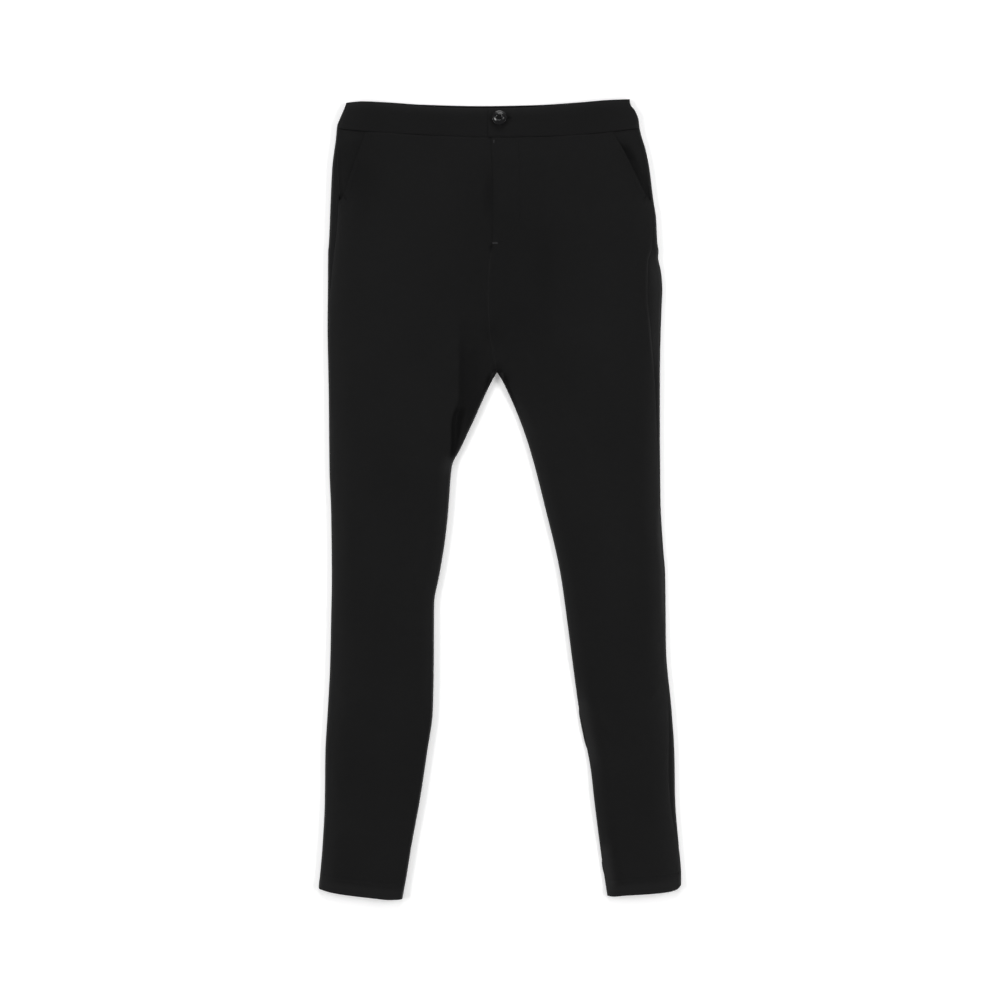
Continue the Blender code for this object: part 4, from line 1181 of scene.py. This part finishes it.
# %% [markdown]
# ## Where the stitching runs
# The hems are held by one row above the turn-up, the mouths by a row beside their edge,
# the fly by a row that bends into its end like a J, and short dense bars of thread take the
# strain at the ends of the mouths and of the fly.

# %% Hem, mouth and fly rows
HEM_ROW_CLEAR, HEM_ROW_DROP = 3.2, 980.0
MOUTH_ROWS, MOUTH_ROW_TOP, MOUTH_ROW_INSET = (6.0, 1.6), 44.0, 36.0
FLY_WIDTH, FLY_TOP, FLY_TIP = 34.0, 50.0, 2.0


def hem_row(leg):
    """A path across the leg above its turn-up, clear of the rolled edges."""
    clear = leg.side * HEM_ROW_CLEAR
    x = np.linspace(leg.outer(HEM_ROW_DROP) - clear, leg.inner(HEM_ROW_DROP) + clear, 40)
    return [list(zip(x, leg.hem(x) - HEM_TURN_UP))]


def mouth_rows(leg):
    """Two paths beside the mouth, from the band down to its end."""
    top = float(front_band_seam(leg.x_at(MOUTH_ROW_INSET, MOUTH_ROW_TOP))) + 1.0
    drop = np.linspace(top, MOUTH_END_DROP - 2.0, 30)
    return [list(zip(leg.x_at(leg.mouth(drop) + aside, drop), drop)) for aside in MOUTH_ROWS]


def fly_row():
    """A J: straight down beside the fly's edge, then a quarter round to its end."""
    bend_drop, end_x = FLY_END_DROP - FLY_WIDTH, float(centre_line(FLY_END_DROP)) + FLY_TIP
    drop = np.linspace(FLY_TOP, bend_drop, 30)
    bend = np.linspace(0.0, math.pi / 2.0, 16)[1:]
    round_x = end_x + (FLY_WIDTH - FLY_TIP) * np.cos(bend)
    return [[*zip(centre_line(drop) + FLY_WIDTH, drop),
             *zip(round_x, bend_drop + FLY_WIDTH * np.sin(bend))]]


threads = [
    sew("stitches_hem_right", front_right, hem_row(RIGHT)),
    sew("stitches_hem_left", front_left, hem_row(LEFT)),
    sew("stitches_hem_right_back", back_right, hem_row(RIGHT), above=False),
    sew("stitches_hem_left_back", back_left, hem_row(LEFT), above=False),
    sew("stitches_mouth_right", front_right, mouth_rows(RIGHT)),
    sew("stitches_mouth_left", front_left, mouth_rows(LEFT)),
    sew("stitches_fly", front_left, fly_row()),
]


# %% Bars of thread
BAR_THREAD, BAR_END_UP, BAR_END_IN = 0.5, 3.0, 2.2


def bar(name, piece, x, drop, way, length, width=2.0):
    """A dense bar of thread: short stitches side by side along its length."""
    way_x, way_drop = math.cos(math.radians(way)), math.sin(math.radians(way))
    paths = []
    for s in np.arange(-length / 2.0, length / 2.0, THREAD):
        cx, cd = x + way_x * s, drop + way_drop * s
        paths.append([(cx + way_drop * width / 2.0, cd - way_x * width / 2.0),
                      (cx - way_drop * width / 2.0, cd + way_x * width / 2.0)])
    return sew(name, piece, paths, length=width * 0.62, pitch=width / 2.0, thread=BAR_THREAD)


def mouth_end(leg):
    drop = MOUTH_END_DROP - BAR_END_UP
    return float(leg.x_at(leg.mouth(drop) + BAR_END_IN, drop)), drop


threads += [
    bar("bar_fly_top", front_left, -7.6, 54.0, 90.0, 3.6, 1.6),
    bar("bar_fly_end", front_left, -6.4, FLY_END_DROP + 0.6, 0.0, 7.5),
    bar("bar_mouth_right", front_right, *mouth_end(RIGHT), 60.0, 8.0),
    bar("bar_mouth_left", front_left, *mouth_end(LEFT), 120.0, 8.0),
]

# %% [markdown]
# ## Buttonhole and button thread
# The buttonhole is a slit with thread packed round it, which runs from under the button
# away from the band's free end. The button's own thread crosses between its four holes.

# %% Buttonhole and button thread
SLIT_START, SLIT_END, SLIT_PITCH = -3.0, 15.0, 0.5
# How far from the slit its thread starts and ends.
SLIT_INNER, SLIT_OUTER = 0.35, 2.3
slit_paths = [
    [(x, BUTTON_DROP + side * SLIT_INNER), (x, BUTTON_DROP + side * SLIT_OUTER)]
    for side in (-1, 1) for x in np.arange(SLIT_START, SLIT_END, SLIT_PITCH)
]
threads.append(sew(
    "buttonhole_thread", band_left, slit_paths, length=1.7, pitch=2.0, thread=BAR_THREAD))
BUNDLE_RISE, BUNDLE_ASIDE, BUNDLE_SIZE = 0.85, 0.3, (0.36, 0.36, 2.3)


def make_button_thread():
    """Two crossed pairs of thread bundles, each an arch from hole to hole."""
    centre = button_seat + Vector((0, 0, (BUTTON_STAND + BUTTON_FLANGE + BUNDLE_RISE) / 1000.0))
    bundles = []
    for turn in (45.0, -45.0):
        for aside in (-BUNDLE_ASIDE, BUNDLE_ASIDE):
            deselect()
            bpy.ops.mesh.primitive_uv_sphere_add(segments=10, ring_count=12, radius=0.001)
            bundle = bpy.context.active_object
            bpy.ops.object.mode_set(mode="EDIT")
            bpy.ops.mesh.select_all(action="SELECT")
            bpy.ops.transform.resize(value=BUNDLE_SIZE, center_override=(0, 0, 0))
            bpy.ops.transform.rotate(value=math.pi / 2.0, orient_axis="Y", center_override=(0, 0, 0))
            bpy.ops.transform.translate(value=(0, aside / 1000.0, 0))
            bpy.ops.transform.rotate(
                value=math.radians(turn), orient_axis="Z", center_override=(0, 0, 0))
            bpy.ops.transform.translate(value=centre)
            bpy.ops.object.mode_set(mode="OBJECT")
            bpy.ops.object.shade_smooth()
            bundles.append(bundle)
    deselect()
    for bundle in bundles:
        bundle.select_set(True)
    bpy.context.view_layer.objects.active = bundles[0]
    bpy.ops.object.join()
    bundles[0].name = bundles[0].data.name = "button_thread"
    return bundles[0]


button_thread = make_button_thread()

# %% [markdown]
# ## Materials
# Black cloth is never quite black. A fine stretch twill reflects about one part in a
# hundred, looks a little lighter where it leans to the light, and has a weave of short
# diagonal ribs under a millimetre wide. The shader reads the cloth's own UV map, which is
# in metres, so the ribs are true to size on every panel. A small class turns Python sums
# into Math nodes, which keeps the recipe readable.

# %% Sockets as numbers
class Socket:
    """A shader value: + - and * on it add Math nodes."""

    def __init__(self, recipe, output):
        self.recipe, self.output = recipe, output

    def _math(self, operation, a, b=None):
        values = {0: a} if b is None else {0: a, 1: b}
        return self.recipe.node("ShaderNodeMath", {"operation": operation}, values)

    def __add__(self, other):
        return self._math("ADD", self, other)

    def __radd__(self, other):
        return self._math("ADD", other, self)

    def __sub__(self, other):
        return self._math("SUBTRACT", self, other)

    def __rsub__(self, other):
        return self._math("SUBTRACT", other, self)

    def __mul__(self, other):
        return self._math("MULTIPLY", self, other)

    def __rmul__(self, other):
        return self._math("MULTIPLY", other, self)

    def sine(self):
        return self._math("SINE", self)

    def power(self, exponent):
        return self._math("POWER", self, exponent)

    def clamped(self, low=0.0, high=1.0):
        return self._math("MINIMUM", self._math("MAXIMUM", self, low), high)


class Recipe:
    """A material's nodes, with its Principled shader ready for constants and links."""

    def __init__(self, name, **constants):
        self.material = bpy.data.materials.new(name)
        self.material.use_nodes = True
        self.tree = self.material.node_tree
        self.shader = self.tree.nodes["Principled BSDF"]
        for key, value in constants.items():
            self.shader.inputs[key.replace("_", " ")].default_value = value

    def node(self, kind, settings=None, values=None, output=0):
        """Adds a node, sets its settings, then fills its sockets with numbers or links."""
        node = self.tree.nodes.new(kind)
        for key, value in (settings or {}).items():
            if key == "stops":
                for stop, (place, colour) in zip(node.color_ramp.elements, value):
                    stop.position, stop.color = place, colour
            else:
                setattr(node, key, value)
        for key, value in (values or {}).items():
            if isinstance(value, Socket):
                self.tree.links.new(value.output, node.inputs[key])
            else:
                node.inputs[key].default_value = value
        return Socket(self, node.outputs[output])

    def feed(self, key, value):
        self.tree.links.new(value.output, self.shader.inputs[key])

    def mixed(self, share, first, second):
        return self.node("ShaderNodeMix", {"data_type": "RGBA"},
                         {"Factor": share, 6: first, 7: second}, output=2)

    def noise(self, place, scale, detail=3.0, roughness=0.55):
        return self.node("ShaderNodeTexNoise", {"noise_dimensions": "3D"},
                         {"Vector": place, "Scale": scale, "Detail": detail, "Roughness": roughness})

    def bump(self, strength, distance, height):
        self.feed("Normal", self.node(
            "ShaderNodeBump", values={"Strength": strength, "Distance": distance, "Height": height}))


# %% Black stretch twill
RIB_PITCH = 0.00072
PICK_PITCH = RIB_PITCH * 1.9
# The colour that painted light mixes in, and the one that painted shade mixes in.
PAINTED_LIGHT_COLOUR = (0.0300, 0.0300, 0.0306, 1)
PAINTED_SHADE_COLOUR = (0.0010, 0.0010, 0.0011, 1)


def twill(name, colour, lighter, roughness, bump):
    recipe = Recipe(name, Roughness=roughness, Specular_IOR_Level=0.14)
    place = recipe.node("ShaderNodeTexCoord", output=2)
    across = recipe.node("ShaderNodeSeparateXYZ", values={0: place})
    along = Socket(recipe, across.output.node.outputs[1])
    slub = recipe.noise(place, 240.0, 2.0)
    wander = recipe.noise(place, 9.0, 2.0)
    ribs = (across * 0.78 + along * 0.62) * (2.0 * math.pi / RIB_PITCH) + slub * 2.4
    ribs = ribs.sine() * 0.5 + 0.5
    picks = (across * 0.62 - along * 0.78) * (2.0 * math.pi / PICK_PITCH) + slub * 3.0
    picks = picks.sine() * 0.5 + 0.5
    weave = ribs.power(1.4) * 0.7 + ribs * picks * 0.3
    shade = recipe.node("ShaderNodeAttribute", {"attribute_name": "shade"}, output=2)
    tone = (weave * 0.30 + slub * 0.35 + wander * 0.30 + 0.02).clamped()
    weave_colour = recipe.mixed(tone, colour, lighter)
    # Painted light where the shade value is below zero, then painted shade where it is above.
    pressed_and_painted_light = recipe.mixed((0.0 - shade).clamped(), weave_colour, PAINTED_LIGHT_COLOUR)
    recipe.feed("Base Color", recipe.mixed(shade.clamped(), pressed_and_painted_light, PAINTED_SHADE_COLOUR))
    deep = shade.clamped(0.0, 1.4)
    gloss = deep * (1.0 - deep) * 0.55
    roughness_here = wander * 0.06 - gloss + weave * 0.08 + (roughness - 0.07)
    recipe.feed("Roughness", roughness_here.clamped(0.2, 1.0))
    recipe.bump(bump, 0.00022, weave * 0.75 + slub * 0.25)
    return recipe.material


cloth = twill(
    "black_stretch_twill", (0.0045, 0.0045, 0.0046, 1), (0.0080, 0.0080, 0.0082, 1), 0.48, 0.35)
band_cloth = twill(
    "black_band_twill", (0.0042, 0.0042, 0.0043, 1), (0.0076, 0.0076, 0.0078, 1), 0.48, 0.30)
facing_cloth = twill(
    "black_facing_twill", (0.0036, 0.0036, 0.0037, 1), (0.0064, 0.0064, 0.0066, 1), 0.52, 0.35)

# %% [markdown]
# Thread is twisted and slightly glossy, so it takes a fine slanted bump on Object
# coordinates. The button is polished plastic: its colour is nearly even, and faint
# scratches show only in the gloss.

# %% Thread and button plastic
def thread_finish(name, colour, lighter):
    recipe = Recipe(name, Specular_IOR_Level=0.12, Roughness=0.6)
    place = recipe.node("ShaderNodeTexCoord", output=3)
    fuzz = recipe.noise(place, 2600.0, 2.0)
    recipe.feed("Base Color", recipe.mixed(fuzz, colour, lighter))
    recipe.feed("Roughness", fuzz * 0.2 + 0.45)
    recipe.bump(0.4, 0.0001, fuzz)
    return recipe.material


def button_plastic():
    recipe = Recipe("black_button_plastic", Specular_IOR_Level=0.5, Roughness=0.16)
    place = recipe.node("ShaderNodeTexCoord", output=3)
    cloud = recipe.noise(place, 320.0, 3.0)
    scratch = recipe.noise(place, 1800.0, 4.0, 0.7)
    recipe.feed("Base Color", recipe.mixed(cloud, (0.004, 0.004, 0.0043, 1), (0.010, 0.010, 0.0106, 1)))
    recipe.feed("Roughness", (scratch * 0.16 + cloud * 0.05 + 0.08).clamped(0.05, 0.5))
    recipe.bump(0.12, 0.0001, scratch)
    return recipe.material


thread_material = thread_finish(
    "black_thread", (0.0035, 0.0035, 0.0037, 1), (0.0075, 0.0075, 0.0078, 1))
bar_thread = thread_finish(
    "charcoal_bar_thread", (0.020, 0.020, 0.021, 1), (0.042, 0.042, 0.044, 1))
plastic = button_plastic()
print("materials:", [material.name for material in bpy.data.materials if material.use_nodes])


# %% [markdown]
# ## Each piece takes its finish, its body and its CAD solid
# A finished piece rides on the garment's one body and stands for the solid it covers.

# %% Finish each piece
def dress(piece, material, slot, *nodes):
    piece.data.materials.clear()
    piece.data.materials.append(material)
    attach(piece, "root")
    if nodes:
        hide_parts(*nodes)


for piece, material, slot, *nodes in (
    (front_right, cloth, "cloth", "front_right"), (front_left, cloth, "cloth", "front_left"),
    (back_right, cloth, "cloth", "back_right"), (back_left, cloth, "cloth", "back_left"),
    (facing_right, facing_cloth, "facing", "pocket_facing_right"),
    (facing_left, facing_cloth, "facing", "pocket_facing_left"),
    (band_back, band_cloth, "waistband", "waistband_back"),
    (band_right, band_cloth, "waistband", "waistband_front_right"),
    (band_left, band_cloth, "waistband", "waistband_front_left"),
    (button, plastic, "button", "button"), (button_thread, thread_material, "button"),
):
    dress(piece, material, slot, *nodes)
for stitches in threads:
    at_fly = stitches.name.startswith("bar_fly")
    dress(stitches, bar_thread if at_fly else thread_material, "cloth")


# %% Sizes of the sheets
def cut_size(piece):
    """Half the shell's surface, and the sides of its box across and along, in metres."""
    area = sum(face.area for face in piece.data.polygons) / 2.0
    corners = np.array([corner[:] for corner in piece.bound_box])
    return area, np.ptp(corners[:, 0]), np.ptp(corners[:, 1])


# Each piece, what its rolled edges and turn-ups add to its width, and what it rests on.
for piece, extra, under in (
    (front_right, 0.02, [back_right]), (front_left, 0.02, [back_left]),
    (back_right, 0.03, []), (back_left, 0.03, []),
    (facing_right, 0.01, [back_right]), (facing_left, 0.01, [back_left]),
    (band_back, 0.03, []), (band_right, 0.01, [band_back]), (band_left, 0.01, [band_back]),
):
    area, width, length = cut_size(piece)
    print(piece.name, "area", round(area, 4), "m2, box", round(width, 3), round(length, 3))
    width + extra
    min(area, (width + extra) * (length + 0.01))

# %% [markdown]
# ## Floor, light and camera
# The photograph is a catalogue picture: the garment lies on white under a camera straight
# above, with broad lights at both sides. The floor is pale and a little overexposed, so
# only the softest shadow is left at the hems.

# %% Floor
FLOOR_SIZE, FLOOR_LEVEL = 8.0, -0.0002
deselect()
bpy.ops.mesh.primitive_plane_add(size=FLOOR_SIZE, location=(0, 0, FLOOR_LEVEL))
floor = bpy.context.active_object
floor.name = "floor"
pale_floor = Recipe(
    "pale_floor", Base_Color=(0.93, 0.93, 0.93, 1), Roughness=0.9, Specular_IOR_Level=0.1,
    Emission_Color=(1, 1, 1, 1), Emission_Strength=0.23)
floor.data.materials.append(pale_floor.material)


# %% Lights
def softbox(name, place, size, power):
    """A wide lamp that looks at the middle of the garment."""
    light = bpy.data.lights.new(name, "AREA")
    light.shape, light.size, light.size_y, light.energy = "RECTANGLE", size[0], size[1], power
    lamp = bpy.data.objects.new(name, light)
    lamp.location = place
    lamp.rotation_euler = (Vector() - Vector(place)).to_track_quat("-Z", "Y").to_euler()
    bpy.context.scene.collection.objects.link(lamp)
    print(name, "gives", power, "W from", place)


softbox("left_softbox", (-2.7, 0.1, 1.7), (3.0, 0.9), 72.0)
softbox("right_softbox", (2.7, 0.1, 1.7), (3.0, 0.9), 72.0)
softbox("top_softbox", (0, 7.6, 3.6), (5.4, 3.8), 345.0)
softbox("bottom_softbox", (0, -2.8, 1.8), (2.2, 0.8), 12.0)
world = bpy.data.worlds.new("studio")
bpy.context.scene.world = world
world.use_nodes = True
background = world.node_tree.nodes["Background"].inputs
background["Color"].default_value = (1, 1, 1, 1)
background["Strength"].default_value = 0.12

# %% Camera
camera = bpy.data.cameras.new("catalogue_camera")
camera.lens, camera.sensor_width = 85.0, 36.0
camera_object = bpy.data.objects.new("catalogue_camera", camera)
camera_object.location = (0.0, -0.00105, 2.9528)
bpy.context.scene.collection.objects.link(camera_object)
bpy.context.scene.camera = camera_object
bpy.context.scene.view_settings.view_transform = "Standard"
